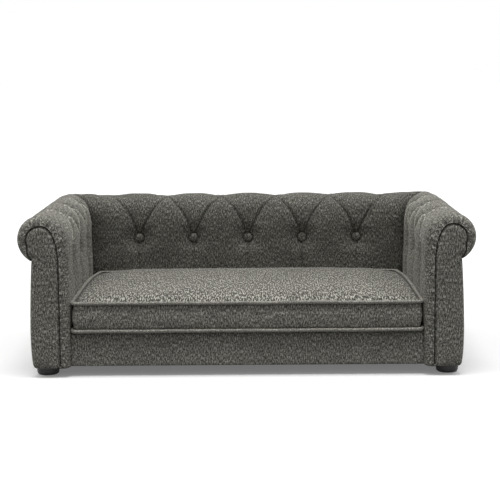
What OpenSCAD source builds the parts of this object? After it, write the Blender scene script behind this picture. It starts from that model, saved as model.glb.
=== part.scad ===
// Scroll-arm pet sofa: a timber frame, foam, button-tufted covers and a loose
// box cushion. Millimetres, +Z up, the front toward -Y, the floor at Z = 0.
// The arms and the back share one scroll section, which runs round the three
// sides and is mitred at the two rear corners. That section is drawn in its
// own frame: s runs along the piece, u points out of the sofa from the
// scroll's axis, and z is the height above the floor.

/* [Overall] */
// Width over the two scroll arms
sofa_w = 900; // [860:1:1000]
// Depth from the arm fronts to the back of the rear scroll
sofa_d = 550; // [520:1:620]
// Height of the scroll's axis above the floor
roll_z = 274.5; // [267:0.5:305]
// Outer radius of the scroll
roll_r = 45; // [43:0.5:48]
// How far the padded inner face stands in from the scroll's axis
face_in = 54.5; // [52:0.5:58]
// Height of the seat deck's cloth above the floor
deck_z = 89; // [83:1:99]

/* [Tufting] */
// Distance from a corner of the padding to the nearest dip of the roll
corner_run = 43; // [38:1:50]
// Distance from the rounded arm front to an arm's first button
first_button_in = 80; // [70:1:90]
// Height of the row of buttons
button_z = 225; // [217:1:231]
// Diameter of a covered button
button_d = 19; // [15:0.5:22]
// Depth of a pleat at a button
crease_sink = 9; // [6:0.5:10]
// Depth of a pleat where it crosses the top of the scroll
roll_sink = 6; // [3:0.5:8]
// Depth of the dimple under a button
button_sink = 13; // [12:0.5:13.5]
// Distance over which a pillow rises from its pleat
pillow_w = 32; // [24:1:40]
// How far a tufted cover's lining stands in from the scroll's axis
lining_in = 34; // [33:0.5:34.5]
// Radius of the lining round the scroll
lining_r = 26; // [24:0.5:27]

/* [Arm fronts] */
// Radius of the keyhole facing's head
facing_r = 29.5; // [28.5:0.5:30]
// How far the facing's inner edge stands in from the scroll's axis
facing_in = 36.5; // [36:0.5:38]
// Depth of the rounded border round the facing
edge_d = 17; // [14:0.5:19]
// Thickness of the keyhole board
front_board_t = 15; // [12:1:18]
// How proud of its board a facing stands
facing_t = 13; // [12:0.5:14]

/* [Timber] */
// Thickness of the front and back rails
rail_t = 20; // [16:1:24]
// Height of a side rail
side_rail_h = 30; // [24:1:36]
// Thickness of the plywood deck
deck_t = 8; // [6:1:10]
// Thickness of the inner plywood panels
panel_t = 6; // [4:0.5:8]
// Thickness of the outer boards
outer_board_t = 3; // [2:0.5:4]
// Radius of the pole inside a scroll
pole_r = 18; // [15:0.5:20]
// Width of a corner post
post_w = 23.7; // [20:0.1:24]
// Leg of a triangular corner block
block_leg = 55; // [40:1:70]

/* [Feet] */
// Height of a foot
foot_h = 20; // [14:1:30]
// Diameter of a foot at its top
foot_d = 46; // [38:1:48]
// Distance from an arm scroll's axis in to a foot's centre
foot_side_in = 5; // [3:1:7]
// Distance from the arm fronts to a front foot's centre
foot_front_in = 45; // [42:1:70]
// Distance from the back scroll's axis to a rear foot's centre
foot_rear_in = 27; // [26:1:55]
// Diameter of the bolt in a foot
bolt_d = 8; // [6:1:8]

/* [Cushion] */
// Height of the cushion's box, over its pipings
cushion_h = 62; // [52:1:68]
// How far the top panel is crowned above the piping
crown_h = 12; // [8:1:18]
// Radius of the self piping
piping_r = 3.2; // [2.5:0.1:4]
// Radius of the cushion's corners
cushion_corner_r = 16; // [14:1:24]
// Gap between the cushion and the padding round it
cushion_gap = 1.5; // [1:0.1:3]
// How far the boxing swells out between the pipings
boxing_swell = 4; // [2:0.5:5]
// Distance from the arm fronts to the cushion's front
cushion_front_in = 5; // [3:1:14]
// Length of the zip in the rear boxing
zip_l = 560; // [400:10:600]

/* [Hidden] */
$fn = 48;

// Clearance between a soft piece and its neighbour
fit = 0.3;
// Overrun of every cut
over = 1;
// Half of the gap across a mitre, measured along the run
mitre_gap = 0.2;
// Larger than the whole sofa, for the cuts
big = 2 * (sofa_w + sofa_d);

// Places of the scroll
front_y = -sofa_d / 2;
roll_x = sofa_w / 2 - roll_r;
roll_y = sofa_d / 2 - roll_r;
face_x = roll_x - face_in;
face_y = roll_y - face_in;
pad_t = face_in - lining_in;

// Heights
dust_t = 1;
base_z = foot_h;
wood_z = base_z + dust_t;
deck_cloth_t = 1.2;
cover_low = deck_z + fit;

// The scroll's section: the roll starts at start_a and ends at its neck
start_a = 112;
neck_a = -66;
// Pulls of the curve between the inner face and the roll
face_pull = 63;
roll_pull = 35;
facing_face_pull = 30;
facing_roll_pull = 20;
// Radius that the facing's path reaches at the neck, and where it leaves the head
facing_neck_in = 1.5;
facing_neck_r = roll_r - facing_neck_in;
facing_leave_a = -20;

// Rows of the cover's section, from the deck up and over to the neck:
// 0 to 1 is the inner face, 1 to 2 the shoulder, 2 to 3 the roll
face_row_shares = [0, 0.55];
shoulder_rows = 4;
roll_rows = 6;
cover_rows = concat(
  face_row_shares,
  [for (k = [0:shoulder_rows]) 1 + k / shoulder_rows],
  [for (k = [1:roll_rows]) 2 + k / roll_rows]
);
// Columns between a button and the next dip, at the corners and at an arm's
// front. An arm's corner button lies on one of its corner columns.
columns = 4;
corner_columns = 4;
back_corner_columns = 3;
front_columns = 5;
// Turns of the rounded border round an arm's facing
edge_turns = [90, 60, 30];

// Lengths of the face and of the shoulder along the section
face_l = button_z - cover_low;
shoulder_curve_share = 1.06;
shoulder_l = norm(crest(2) - crest(1)) * shoulder_curve_share;
// Flat middle and outer radius of a button's dimple, and how it falls off
dimple_flat = 6;
dimple_r = 38;
dimple_power = 1.2;
// Depth of a pleat by its row: on the deck, at the button, round the roll
pleat_shares = [[0, 0.55], [1, 1], [2, 0.8], [2.3, roll_sink / crease_sink], [3, 0.35]];

// Arm front
edge_front_in = 3;
edge_y = front_y + edge_front_in + edge_d;
lip_y = front_y + facing_t;
board_back_y = lip_y + front_board_t;

// Buttons and dips of the back, from side to side
back_pitch = 2 * (face_x - corner_run) / 5;
back_button_s = [for (i = [-2:2]) i * back_pitch];
back_dip_s = [for (i = [-3:2]) (i + 0.5) * back_pitch];
// The last dip of an arm is as far from the corner as the back's last one
arm_last_dip = face_y - corner_run;
arm_pitch = (arm_last_dip - edge_y - first_button_in) / 2.5;
corner_button_share = 0.75;
corner_power = 8;
arm_corner_button = arm_last_dip + corner_button_share * corner_run;
arm_dip_s = [for (i = [-2:0]) arm_last_dip + i * arm_pitch];
arm_button_s = concat([for (i = [-2:0]) arm_last_dip + (i - 0.5) * arm_pitch], [arm_corner_button]);

// Two creases of one pleat are less than this share of a pitch apart
leg_share = 0.6;

// Outer side: the cloth bulges between the neck and the foot of the arm
neck_u = roll_r * cos(neck_a);
neck_z = roll_z + roll_r * sin(neck_a);
outer_bulge = 6.5;
outer_draw = 1;
outer_lean_share = 1.9;
outer_full_share = 0.4;
outer_steps = 14;
facing_margin = 2.5;
// Shares of the facing's depth and of its rounding, by ring
facing_round = 6;
facing_depth_shares = [1, 0.38, 0.09, 0];
facing_round_shares = [0, 0, 0.3, 1];
outer_edge_in = 4;

// Timber places, in u from the scroll's axis
lining_u = -lining_in + fit;
outer_board_u = 10;
panel_u = outer_board_u - post_w;
outer_cloth_u = outer_board_u + outer_board_t + fit;
post_notch = outer_board_u - (pole_r + fit) * cos(neck_a) + fit;
post_low_z = roll_z + lining_r * sin(neck_a) - fit;
side_rail_in_u = -29;
side_rail_w = outer_board_u - side_rail_in_u;
pole_seat_z = roll_z - sqrt(pow(pole_r, 2) - pow(panel_u + panel_t, 2)) - fit;

// Front and back rails
rail_cloth_t = 3.3;
rail_cover_r = 3;
rail_front_y = edge_y + fit;
rail_top = deck_z - deck_cloth_t - deck_t;
rail_half = face_x + pad_t + fit;
back_rail_y = roll_y + panel_u - rail_t;
centre_rail_x = 125;
centre_rail_w = 20;

// Buttons
button_seat = 9;
button_rim = 2;
button_dome = 6;
shank_r = 2.5;
shank_gap = 1.2;
tie_d = 2;
tie_hole_d = 3;
washer_d = 14;
washer_t = 1.5;

// Feet and their fasteners
foot_x = roll_x - foot_side_in;
foot_front_y = front_y + foot_front_in;
foot_rear_y = roll_y - foot_rear_in;
foot_taper = 1;
foot_round = 6;
foot_socket_d = 14;
foot_socket_h = 6;
bolt_head_h = 5;
bolt_l = 26;
bolt_end_gap = 3;
nut_d = 11;
nut_flange_d = 20;
nut_flange_t = 1.5;
nut_h = 9;

// Screws and staples
screw_d = 4;
screw_head_d = 8;
screw_head_h = 2.4;
screw_l = 32;
screw_head_in = 6;
pilot = 0.2;
screw_high_share = 0.72;
screw_low_share = 0.28;
staple_w = 10;
staple_t = 1;
staple_pitch = 60;
staple_in = 12;

// Cushion
cushion_z = deck_z + fit;
cushion_hx = face_x - cushion_gap;
cushion_front = front_y + cushion_front_in;
cushion_back = face_y - cushion_gap;
cushion_y = (cushion_front + cushion_back) / 2;
cushion_hy = (cushion_back - cushion_front) / 2;
piping_low_z = cushion_z + piping_r;
piping_top_z = cushion_z + cushion_h - piping_r;
panel_cloth_t = 2;
boxing_t = 3;
boxing_steps = 8;
boxing_swell_power = 0.4;
seam_in = 2 * piping_r;
crown_columns = 22;
crown_lines = 14;
crown_power = 3;
zip_w = 24;
zip_t = 1;
zip_end_in = 14;
zip_sunk = 5.3;
slider_l = 12;
slider_w = 9;
slider_t = 2;
slider_cheek_t = 1;
pull_l = 24;
pull_w = 6;
pull_t = 1.2;
pull_eye_r = 1.1;
pull_pin_r = 0.45;
pull_hole_r = 0.6;
pull_tip_hole_d = 2.5;
pull_tip_in = 3.5;
zip_y = cushion_back - zip_sunk;
zip_z = (piping_low_z + piping_top_z) / 2;
slider_y = zip_y + fit;
slider_x = -zip_l / 2 + zip_end_in;
pull_y = slider_y + slider_t + fit + pull_eye_r;

// Colours
cloth = [0.30, 0.29, 0.26];
cloth_light = [0.36, 0.35, 0.32];
timber = [0.80, 0.66, 0.46];
plywood = [0.74, 0.60, 0.42];
hardboard = [0.47, 0.35, 0.24];
foam_colour = [0.93, 0.90, 0.78];
black = [0.05, 0.05, 0.05];
steel = [0.70, 0.71, 0.73];

// A point on a cubic curve, and its direction there
function cubic(p, t) =
  pow(1 - t, 3) * p[0] + 3 * pow(1 - t, 2) * t * p[1] + 3 * (1 - t) * t * t * p[2] + pow(t, 3) * p[3];
function cubic_way(p, t) =
  pow(1 - t, 2) * (p[1] - p[0]) + 2 * (1 - t) * t * (p[2] - p[1]) + t * t * (p[3] - p[2]);
function unit(a) = a / norm(a);

// A point on a circle round the scroll's axis
function on_roll(r, a) = [r * cos(a), roll_z + r * sin(a)];
function roll_angle(v) = start_a + (v - 2) * (neck_a - start_a);

// The curve from an inner face up to a roll of radius r
function shoulder(u, r, up, along) = [
  [u, button_z],
  [u, button_z + up],
  on_roll(r, start_a) - along * [sin(start_a), -cos(start_a)],
  on_roll(r, start_a)
];

// The cover's crest line and its inward direction, at row v
function crest(v) =
  v <= 1 ? [-face_in, cover_low + v * (button_z - cover_low)]
  : v < 2 ? cubic(shoulder(-face_in, roll_r, face_pull, roll_pull), v - 1)
  : on_roll(roll_r, roll_angle(v));
function inward(v) =
  v <= 1 ? [1, 0]
  : v < 2 ? let (w = unit(cubic_way(shoulder(-face_in, roll_r, face_pull, roll_pull), v - 1)))
    [w[1], -w[0]]
  : -[cos(roll_angle(v)), sin(roll_angle(v))];
function sunk(v, depth) = crest(v) + depth * inward(v);

// The smooth lining behind the wadding, drawn in by a margin, at row v
function lining(v, margin) =
  v <= 1 ? [-lining_in + margin, cover_low + v * (button_z - cover_low)]
  : v < 2 ?
    cubic(shoulder(-lining_in + margin, lining_r - margin, facing_face_pull, facing_roll_pull), v - 1)
  : on_roll(lining_r - margin, roll_angle(v));

// The edge of the keyhole facing, drawn in by a margin, at row v
function head_r(v) =
  let (w = max(0, (facing_leave_a - roll_angle(v)) / (facing_leave_a - neck_a)))
  facing_r + (facing_neck_r - facing_r) * w * w * (3 - 2 * w);
function facing_edge(v, margin) =
  v <= 1 ? [-facing_in + margin, cover_low + v * (button_z - cover_low)]
  : v < 2 ?
    cubic(shoulder(-facing_in + margin, facing_r - margin, facing_face_pull, facing_roll_pull), v - 1)
  : on_roll(head_r(v) - margin, roll_angle(v));

// The outer side of the arms and the back, q from the neck down to the base
function outer_side(q, margin) = [
  neck_u - margin - outer_draw * q
    + outer_bulge * pow(max(0, sin(180 * pow(q, outer_lean_share))), outer_full_share),
  neck_z - fit - q * (neck_z - fit - base_z)
];

// How deep the cover sinks at place s and row v
function pleat(d) = pow(max(0, 1 - d / pillow_w), 2);
function dimple(d) = pow(min(1, max(0, (dimple_r - d) / (dimple_r - dimple_flat))), dimple_power);
function rise(v) = v <= 1 ? (v - 1) * face_l : (v - 1) * shoulder_l;
function legs(buttons, dips) =
  [for (b = buttons) for (d = dips) if (abs(b - d) < leg_share * max(arm_pitch, back_pitch)) [b, d]];
function sink(s, v, buttons, dips, to_corner) =
  let (
    near = v <= 1 ? max([for (b = buttons) pleat(abs(s - b))])
      : v < 2 ? max([for (g = legs(buttons, dips)) pleat(abs(s - g[0] - (g[1] - g[0]) * (v - 1)))])
      : max([for (d = dips) pleat(abs(s - d))]),
    hole = max([for (b = buttons) dimple(norm([s - b, rise(v)]))])
  )
  max(crease_sink * lookup(v, pleat_shares) * max(near, pleat(to_corner)), button_sink * hole);

// One point of a cover between the creases at s, or a share e of the way from
// its last dip to the mitre, where only the last points follow the mitre
function cover_point(s, v, buttons, dips, to_corner) =
  let (p = sunk(v, sink(s, v, buttons, dips, to_corner))) [s, p[0], p[1]];
function corner_point(from, end, e, v, buttons, dips) =
  let (
    u0 = crest(v)[0],
    run = end + u0 - from,
    d = sink(from + e * run, v, buttons, dips, (1 - e) * run),
    p = sunk(v, d)
  )
  [from + e * run + pow(e, corner_power) * (p[0] - u0 - mitre_gap), p[0], p[1]];
function edge_point(a, s, v) =
  let (p = crest(v), q = facing_edge(v, 0), w = 1 - cos(a), m = p + w * (q - p)) [s, m[0], m[1]];

// The places of the columns between neighbouring creases
function columns_between(marks, count) =
  [for (i = [0:len(marks) - 2]) for (k = [0:count - 1]) marks[i] + k * (marks[i + 1] - marks[i]) / count];

// The lining's points beside those
function lining_point(s, v) = let (p = lining(v, 0)) [s, p[0], p[1]];
function lining_corner(from, end, e, v) =
  let (p = lining(v, 0)) [from + e * (end + p[0] - mitre_gap - from), p[0], p[1]];

// Stations along an arm, from the lip behind its facing to the mitre
arm_marks = [arm_button_s[0], arm_dip_s[0], arm_button_s[1], arm_dip_s[1], arm_button_s[2], arm_dip_s[2]];
arm_face_s = concat(
  columns_between([edge_y, arm_marks[0]], front_columns),
  columns_between(arm_marks, columns)
);
function corner_shares(count) = [for (k = [0:count]) k / count];
arm_skin = concat(
  [[for (v = cover_rows) edge_point(90, lip_y, v)]],
  [for (a = edge_turns) [for (v = cover_rows) edge_point(a, edge_y - edge_d * sin(a), v)]],
  [for (s = arm_face_s) [for (v = cover_rows) cover_point(s, v, arm_button_s, arm_dip_s, pillow_w)]],
  [for (e = corner_shares(corner_columns))
    [for (v = cover_rows) corner_point(arm_last_dip, roll_y, e, v, arm_button_s, arm_dip_s)]]
);
arm_lining = concat(
  [for (s = concat([lip_y], arm_face_s)) [for (v = cover_rows) lining_point(s, v)]],
  [for (e = corner_shares(corner_columns)) [for (v = cover_rows) lining_corner(arm_last_dip, roll_y, e, v)]]
);
// Whether a gap between two stations has its button on the left
arm_turns = concat(
  [for (k = [0:len(edge_turns) + front_columns]) false],
  [for (i = [0:4]) for (k = [0:columns - 1]) i % 2 == 0],
  [for (k = [0:corner_columns - 1]) false]
);

// Stations along the back, from mitre to mitre
back_marks = [for (i = [-5:5]) i * back_pitch / 2];
back_end = back_marks[len(back_marks) - 1];
back_face_s = columns_between(back_marks, columns);
function mirrored(stations) =
  [for (i = [len(stations) - 1:-1:1]) [for (p = stations[i]) [-p[0], p[1], p[2]]]];
back_skin_end = [for (e = corner_shares(back_corner_columns))
  [for (v = cover_rows) corner_point(back_end, roll_x, e, v, back_button_s, back_dip_s)]];
back_lining_end = [for (e = corner_shares(back_corner_columns))
  [for (v = cover_rows) lining_corner(back_end, roll_x, e, v)]];
back_skin = concat(
  mirrored(back_skin_end),
  [for (s = back_face_s) [for (v = cover_rows) cover_point(s, v, back_button_s, back_dip_s, pillow_w)]],
  back_skin_end
);
back_lining = concat(
  mirrored(back_lining_end),
  [for (s = back_face_s) [for (v = cover_rows) lining_point(s, v)]],
  back_lining_end
);
back_turns = concat(
  [for (k = [1:back_corner_columns]) true],
  [for (i = [0:9]) for (k = [0:columns - 1]) i % 2 == 1],
  [for (k = [1:back_corner_columns]) false]
);

// A tufted cover: its skin and its lining as grids of stations, and the edges
// between them. Where it has a front border, the skin's first stations share
// the lining's first gap and reach down to the base.
module tufted_shell(skin, lining, turns, border) {
  rows = len(cover_rows);
  count = len(skin);
  top = rows - 1;
  base = rows * count;
  hem = base + rows * len(lining);
  function out(i, j) = i * rows + j;
  function back(i, j) = base + (border == 0 ? i : i == 0 ? 0 : i - border + 1) * rows + j;
  hem_points = border == 0 ? [] : concat(
    [for (i = [0:border]) let (p = skin[i][0]) [p[0], p[1], base_z]],
    [for (i = [1, 0]) let (p = lining[i][0]) [p[0], p[1], base_z]]
  );
  hem_back = hem + border + 1;
  points = concat([for (st = skin) each st], [for (st = lining) each st], hem_points);
  outside = [for (i = [0:count - 2]) for (j = [0:top - 1])
    let (a = out(i, j), b = out(i + 1, j), c = b + 1, d = a + 1)
    each turns[i] ? [[a, d, c], [a, c, b]] : [[a, d, b], [d, c, b]]];
  gaps = concat(border == 0 ? [] : [[0, border]], [for (i = [border:count - 2]) [i, i + 1]]);
  inside = [for (g = gaps) for (j = [0:top - 1])
    let (a = back(g[0], j), b = back(g[1], j))
    each [[a, b, b + 1], [a, b + 1, a + 1]]];
  edges = [for (i = [border:count - 2]) each [
    [out(i, 0), out(i + 1, 0), back(i + 1, 0)],
    [out(i, 0), back(i + 1, 0), back(i, 0)],
    [out(i, top), back(i, top), back(i + 1, top)],
    [out(i, top), back(i + 1, top), out(i + 1, top)]
  ]];
  ends = [for (j = [0:top - 1]) each [
    [out(0, j), back(0, j), back(0, j + 1)],
    [out(0, j), back(0, j + 1), out(0, j + 1)],
    [out(count - 1, j), out(count - 1, j + 1), back(count - 1, j + 1)],
    [out(count - 1, j), back(count - 1, j + 1), back(count - 1, j)]
  ]];
  front = border == 0 ? [] : concat(
    [concat([for (i = [border:-1:0]) out(i, top)], [back(0, top), back(border, top)])],
    [for (i = [0:border - 1]) each [
      [hem + i, out(i, 0), out(i + 1, 0)],
      [hem + i, out(i + 1, 0), hem + i + 1]
    ]],
    [[for (i = [0:border + 2]) hem + i]],
    [[hem + border, out(border, 0), back(border, 0), hem_back]],
    [[hem_back, back(border, 0), back(0, 0), hem_back + 1]],
    [[hem_back + 1, back(0, 0), out(0, 0), hem]]
  );
  polyhedron(points, concat(outside, inside, edges, ends, front));
}

// Extrudes a section in (u, z) along s
module run(from, to) {
  translate([from, 0, 0]) rotate([90, 0, 90]) linear_extrude(to - from) children();
}

// Everything past a mitre that crosses the scroll's axis at s = end
module past_mitre(end) {
  translate([end - mitre_gap, 0, -over])
    rotate([0, 0, -45]) translate([0, -big / 2, 0]) cube([big, big, big]);
}

// Runs along an arm and along the back, cut at the mitres
module arm_run(from) {
  difference() {
    run(from, roll_y + big / 4) children();
    past_mitre(roll_y);
  }
}
module back_run() {
  difference() {
    run(-roll_x - big / 4, roll_x + big / 4) children();
    past_mitre(roll_x);
    mirror([1, 0, 0]) past_mitre(roll_x);
  }
}

// From the section's frame to the left arm, the right arm and the back
module on_left() {
  translate([-roll_x, 0, 0]) rotate([0, 0, 90]) children();
}
module on_right() {
  mirror([1, 0, 0]) on_left() children();
}
module on_back() {
  translate([0, roll_y, 0]) children();
}

// The foam's section, from the deck round the roll and back along the pole
foam_low = deck_z + fit;
foam_hook_a = 180 + acos(-panel_u / (pole_r + fit));
foam_arc_steps = 12;
foam_hole_r = (pole_r + fit) / cos((foam_hook_a - neck_a) / foam_arc_steps / 2);
module foam_section() {
  polygon(concat(
    [[panel_u, foam_low], [lining_u, foam_low]],
    [for (v = cover_rows) if (v > 0) lining(v, fit)],
    [for (k = [0:foam_arc_steps])
      on_roll(foam_hole_r, neck_a + k * (foam_hook_a - neck_a) / foam_arc_steps)]
  ));
}

// The section of the outer cloth, with its bulge
module outer_cloth_section() {
  polygon(concat(
    [[outer_cloth_u, base_z], [outer_cloth_u, neck_z - fit]],
    [for (k = [0:outer_steps]) outer_side(k / outer_steps, 0)]
  ));
}

module outer_edge_section() {
  polygon(concat(
    [for (k = [1:outer_steps]) outer_side(k / outer_steps, 0)],
    [for (k = [outer_steps:-1:1]) outer_side(k / outer_steps, facing_margin - fit)]
  ));
}

module outer_cloth() {
  arm_run(lip_y) outer_cloth_section();
  run(front_y + outer_edge_in, lip_y + over) outer_edge_section();
}

// The keyhole board, inside the cover's lining
module front_board_section() {
  polygon(concat(
    [[lining_u, wood_z]],
    [for (v = cover_rows) if (v > 0) lining(v, fit)],
    [[outer_board_u + outer_board_t, neck_z], [outer_board_u + outer_board_t, wood_z]]
  ));
}

// One ring of the padded facing, drawn in by a margin, at place s
function facing_ring(margin, s) = concat(
  [[s, -facing_in + margin, base_z + margin]],
  [for (v = cover_rows) if (v >= 1) let (p = facing_edge(v, margin)) [s, p[0], p[1]]],
  [for (k = [1:outer_steps])
    let (p = outer_side(k / outer_steps, facing_margin + margin)) [s, p[0], max(p[1], base_z + margin)]]
);
module facing() {
  rings = [for (k = [0:3])
    facing_ring(fit + facing_round_shares[k] * facing_round, front_y + facing_depth_shares[k] * facing_t)];
  n = len(rings[0]);
  sides = [for (k = [0:2]) for (i = [0:n - 1])
    let (a = k * n + i, b = k * n + (i + 1) % n, c = b + n, d = a + n)
    each [[a, b, c], [a, c, d]]];
  polyhedron(
    [for (r = rings) each r],
    concat(sides, [[for (i = [n - 1:-1:0]) i]], [[for (i = [0:n - 1]) 3 * n + i]])
  );
}

// An arm's cover also runs down its front stump, below the deck
module arm_cover() {
  tufted_shell(arm_skin, arm_lining, arm_turns, len(edge_turns) + 1);
}

// A covered button, its dome toward -u, with the shank behind it
module tuft_button() {
  rim_r = button_d / 2;
  arc_steps = 6;
  rotate([90, 0, 0]) rotate_extrude() polygon(concat(
    [
      [0, button_seat - button_sink + shank_gap],
      [shank_r, button_seat - button_sink + shank_gap],
      [rim_r - 2 * button_rim, 0],
      [rim_r, button_rim / 2]
    ],
    [for (k = [0:arc_steps])
      let (a = 90 * k / arc_steps)
      [rim_r * cos(a), button_rim + (button_dome - button_rim) * sin(a)]]
  ));
}
module button_row(places) {
  for (s = places) translate([s, -face_in + button_seat, button_z]) tuft_button();
}

// A button's twine, through the foam and the panel to a washer
module button_ties(places) {
  back_u = panel_u + panel_t;
  for (s = places) translate([s, 0, button_z]) {
    translate([0, back_u + washer_t + tie_d, 0]) rotate([90, 0, 0])
      cylinder(h = back_u + washer_t + tie_d - lining_u + fit, d = tie_d, $fn = 24);
    translate([0, back_u + washer_t, 0]) rotate([90, 0, 0]) difference() {
      cylinder(h = washer_t, d = washer_d);
      translate([0, 0, -over]) cylinder(h = washer_t + 2 * over, d = tie_d + pilot, $fn = 24);
    }
  }
}
module tie_holes(places) {
  for (s = places) translate([s, big / 4, button_z])
    rotate([90, 0, 0]) cylinder(h = big / 2, d = tie_hole_d, $fn = 24);
}

module arm_foam() {
  difference() {
    arm_run(board_back_y) foam_section();
    tie_holes(arm_button_s);
  }
}

// Poles, panels and boards of the arms
module arm_pole() {
  arm_run(board_back_y) translate([0, roll_z]) circle(r = pole_r);
}
module arm_inner_panel() {
  difference() {
    translate([board_back_y, panel_u, wood_z + side_rail_h])
      cube([roll_y + panel_u - board_back_y, panel_t, pole_seat_z - wood_z - side_rail_h]);
    tie_holes(arm_button_s);
  }
}
module arm_outer_board() {
  arm_run(board_back_y) translate([outer_board_u, wood_z])
    square([outer_board_t, neck_z - fit - wood_z]);
}

// Holes and fasteners of the feet, at the four corners
module at_feet() {
  for (side = [-1, 1]) for (y = [foot_front_y, foot_rear_y]) translate([side * foot_x, y, 0]) children();
}
module left_rail_solid() {
  difference() {
    on_left() translate([board_back_y, side_rail_in_u, wood_z])
      cube([roll_y + panel_u - board_back_y, side_rail_w, side_rail_h]);
    at_feet() translate([0, 0, wood_z - over]) cylinder(h = nut_h + over, d = nut_d + pilot);
    at_feet() translate([0, 0, wood_z - over]) cylinder(h = nut_flange_t + over, d = nut_flange_d + pilot);
    at_feet() translate([0, 0, wood_z - over])
      cylinder(h = foot_socket_h + bolt_l + bolt_end_gap - wood_z + over, d = bolt_d + 2 * pilot);
    mirror([1, 0, 0]) rail_screw_holes();
  }
}

// Screws through the side rails into the ends of the back rail, and through
// the keyhole boards' edges into the front rail
screw_y_back = back_rail_y + rail_t / 2;
screw_out_x = roll_x + side_rail_in_u + screw_head_in;
function side_screw_z() = [wood_z + screw_low_share * side_rail_h, wood_z + screw_high_share * side_rail_h];
module screw(hole) {
  grow = hole ? pilot : 0;
  rotate([0, -90, 0]) {
    cylinder(h = screw_l + grow, d = screw_d + grow, $fn = 24);
    cylinder(h = screw_head_h, d1 = screw_head_d + grow, d2 = screw_d + grow, $fn = 24);
    if (hole) translate([0, 0, -side_rail_w]) cylinder(h = side_rail_w, d = screw_head_d + grow, $fn = 24);
  }
}
module rail_screws(hole) {
  for (z = side_screw_z()) translate([screw_out_x, screw_y_back, z]) screw(hole);
}
module rail_screw_holes() {
  rail_screws(true);
}

module foot() {
  top_r = foot_d / 2;
  base_r = top_r - foot_taper;
  difference() {
    rotate_extrude() polygon(concat(
      [[0, 0], [base_r - foot_round, 0]],
      [for (a = [-60:30:0]) [base_r - foot_round + foot_round * cos(a), foot_round + foot_round * sin(a)]],
      [[top_r, foot_h], [0, foot_h]]
    ));
    translate([0, 0, -over]) cylinder(h = foot_socket_h + over, d = foot_socket_d);
    cylinder(h = foot_h + over, d = bolt_d + 2 * pilot);
  }
}

// A section swept round a rounded rectangle in plan. The section lies in
// (distance out from the corner's centre, height).
module round_loop(hx, hy, corner) {
  for (side = [-1, 1]) {
    translate([0, side * (hy - corner), 0]) rotate([0, 0, 90 * side]) rotate([90, 0, 0])
      translate([0, 0, corner - hx]) linear_extrude(2 * (hx - corner)) children();
    translate([side * (hx - corner), 0, 0]) rotate([0, 0, 90 - 90 * side]) rotate([90, 0, 0])
      translate([0, 0, corner - hy]) linear_extrude(2 * (hy - corner)) children();
  }
  for (turn = [0:3]) {
    sx = turn == 0 || turn == 3 ? 1 : -1;
    sy = turn < 2 ? 1 : -1;
    translate([sx * (hx - corner), sy * (hy - corner), 0])
      rotate([0, 0, 90 * turn]) rotate_extrude(angle = 90) children();
  }
}
module rounded_plate(hx, hy, corner, t) {
  linear_extrude(t) union() {
    square([2 * hx, 2 * (hy - corner)], center = true);
    square([2 * (hx - corner), 2 * hy], center = true);
    for (sx = [-1, 1]) for (sy = [-1, 1])
      translate([sx * (hx - corner), sy * (hy - corner)]) circle(r = corner);
  }
}
module piping(z) {
  translate([0, cushion_y, z])
    round_loop(cushion_hx, cushion_hy, cushion_corner_r)
      translate([cushion_corner_r - piping_r, 0]) circle(r = piping_r, $fn = 32);
}

// The crowned top panel: a grid of the cushion's plan, flat below
panel_hx = cushion_hx - seam_in - fit;
panel_hy = cushion_hy - seam_in - fit;
panel_z = piping_top_z - panel_cloth_t / 2;
function bowed(k, count) = sin(90 * (2 * k / count - 1));
function crown(a, b) = crown_h * (1 - pow(abs(a), crown_power)) * (1 - pow(abs(b), crown_power));
// Draws a point in the corner of the plan in to the corner's radius
function rounded(x, y) =
  let (
    r = cushion_corner_r - seam_in - fit,
    dx = max(0, abs(x) - panel_hx + r),
    dy = max(0, abs(y) - panel_hy + r),
    k = dx > 0 && dy > 0 ? max(dx, dy) / norm([dx, dy]) : 1
  )
  [sign(x) * (abs(x) - (1 - k) * dx), sign(y) * (abs(y) - (1 - k) * dy)];
module crowned_panel() {
  nx = crown_columns;
  ny = crown_lines;
  w = nx + 1;
  top = [for (j = [0:ny]) for (i = [0:nx])
    let (a = bowed(i, nx), b = bowed(j, ny), p = rounded(a * panel_hx, b * panel_hy))
    [p[0], p[1], panel_cloth_t + crown(a, b)]];
  // The grid's border, anticlockwise from the front left corner
  border = concat(
    [for (i = [0:nx - 1]) i],
    [for (j = [0:ny - 1]) j * w + nx],
    [for (i = [nx:-1:1]) ny * w + i],
    [for (j = [ny:-1:1]) j * w]
  );
  n = len(border);
  first = len(top);
  foot = [for (k = border) [top[k][0], top[k][1], 0]];
  skin = [for (j = [0:ny - 1]) for (i = [0:nx - 1])
    let (a = j * w + i, b = a + 1, c = b + w, d = a + w)
    each [[a, d, c], [a, c, b]]];
  wall = [for (k = [0:n - 1])
    let (m = (k + 1) % n)
    each [[border[k], border[m], first + m], [border[k], first + m, first + k]]];
  under = [for (k = [0:n - 1]) [first + k, first + (k + 1) % n, first + n]];
  polyhedron(concat(top, foot, [[0, 0, 0]]), concat(skin, wall, under));
}

// The boxing: it starts behind one piping, swells out and ends behind the other
function boxing_out(t) =
  cushion_corner_r - seam_in - fit + boxing_swell * pow(max(0, sin(180 * t)), boxing_swell_power);
module boxing_section() {
  low = piping_low_z + piping_r + fit;
  high = piping_top_z - piping_r - fit;
  curve = concat(
    [[boxing_out(0), cushion_z + panel_cloth_t + fit]],
    [for (k = [0:boxing_steps]) [boxing_out(k / boxing_steps), low + k * (high - low) / boxing_steps]],
    [[boxing_out(0), panel_z - fit]]
  );
  n = len(curve) - 1;
  polygon(concat(curve, [for (i = [n:-1:0]) curve[i] - [boxing_t, 0]]));
}

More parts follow.
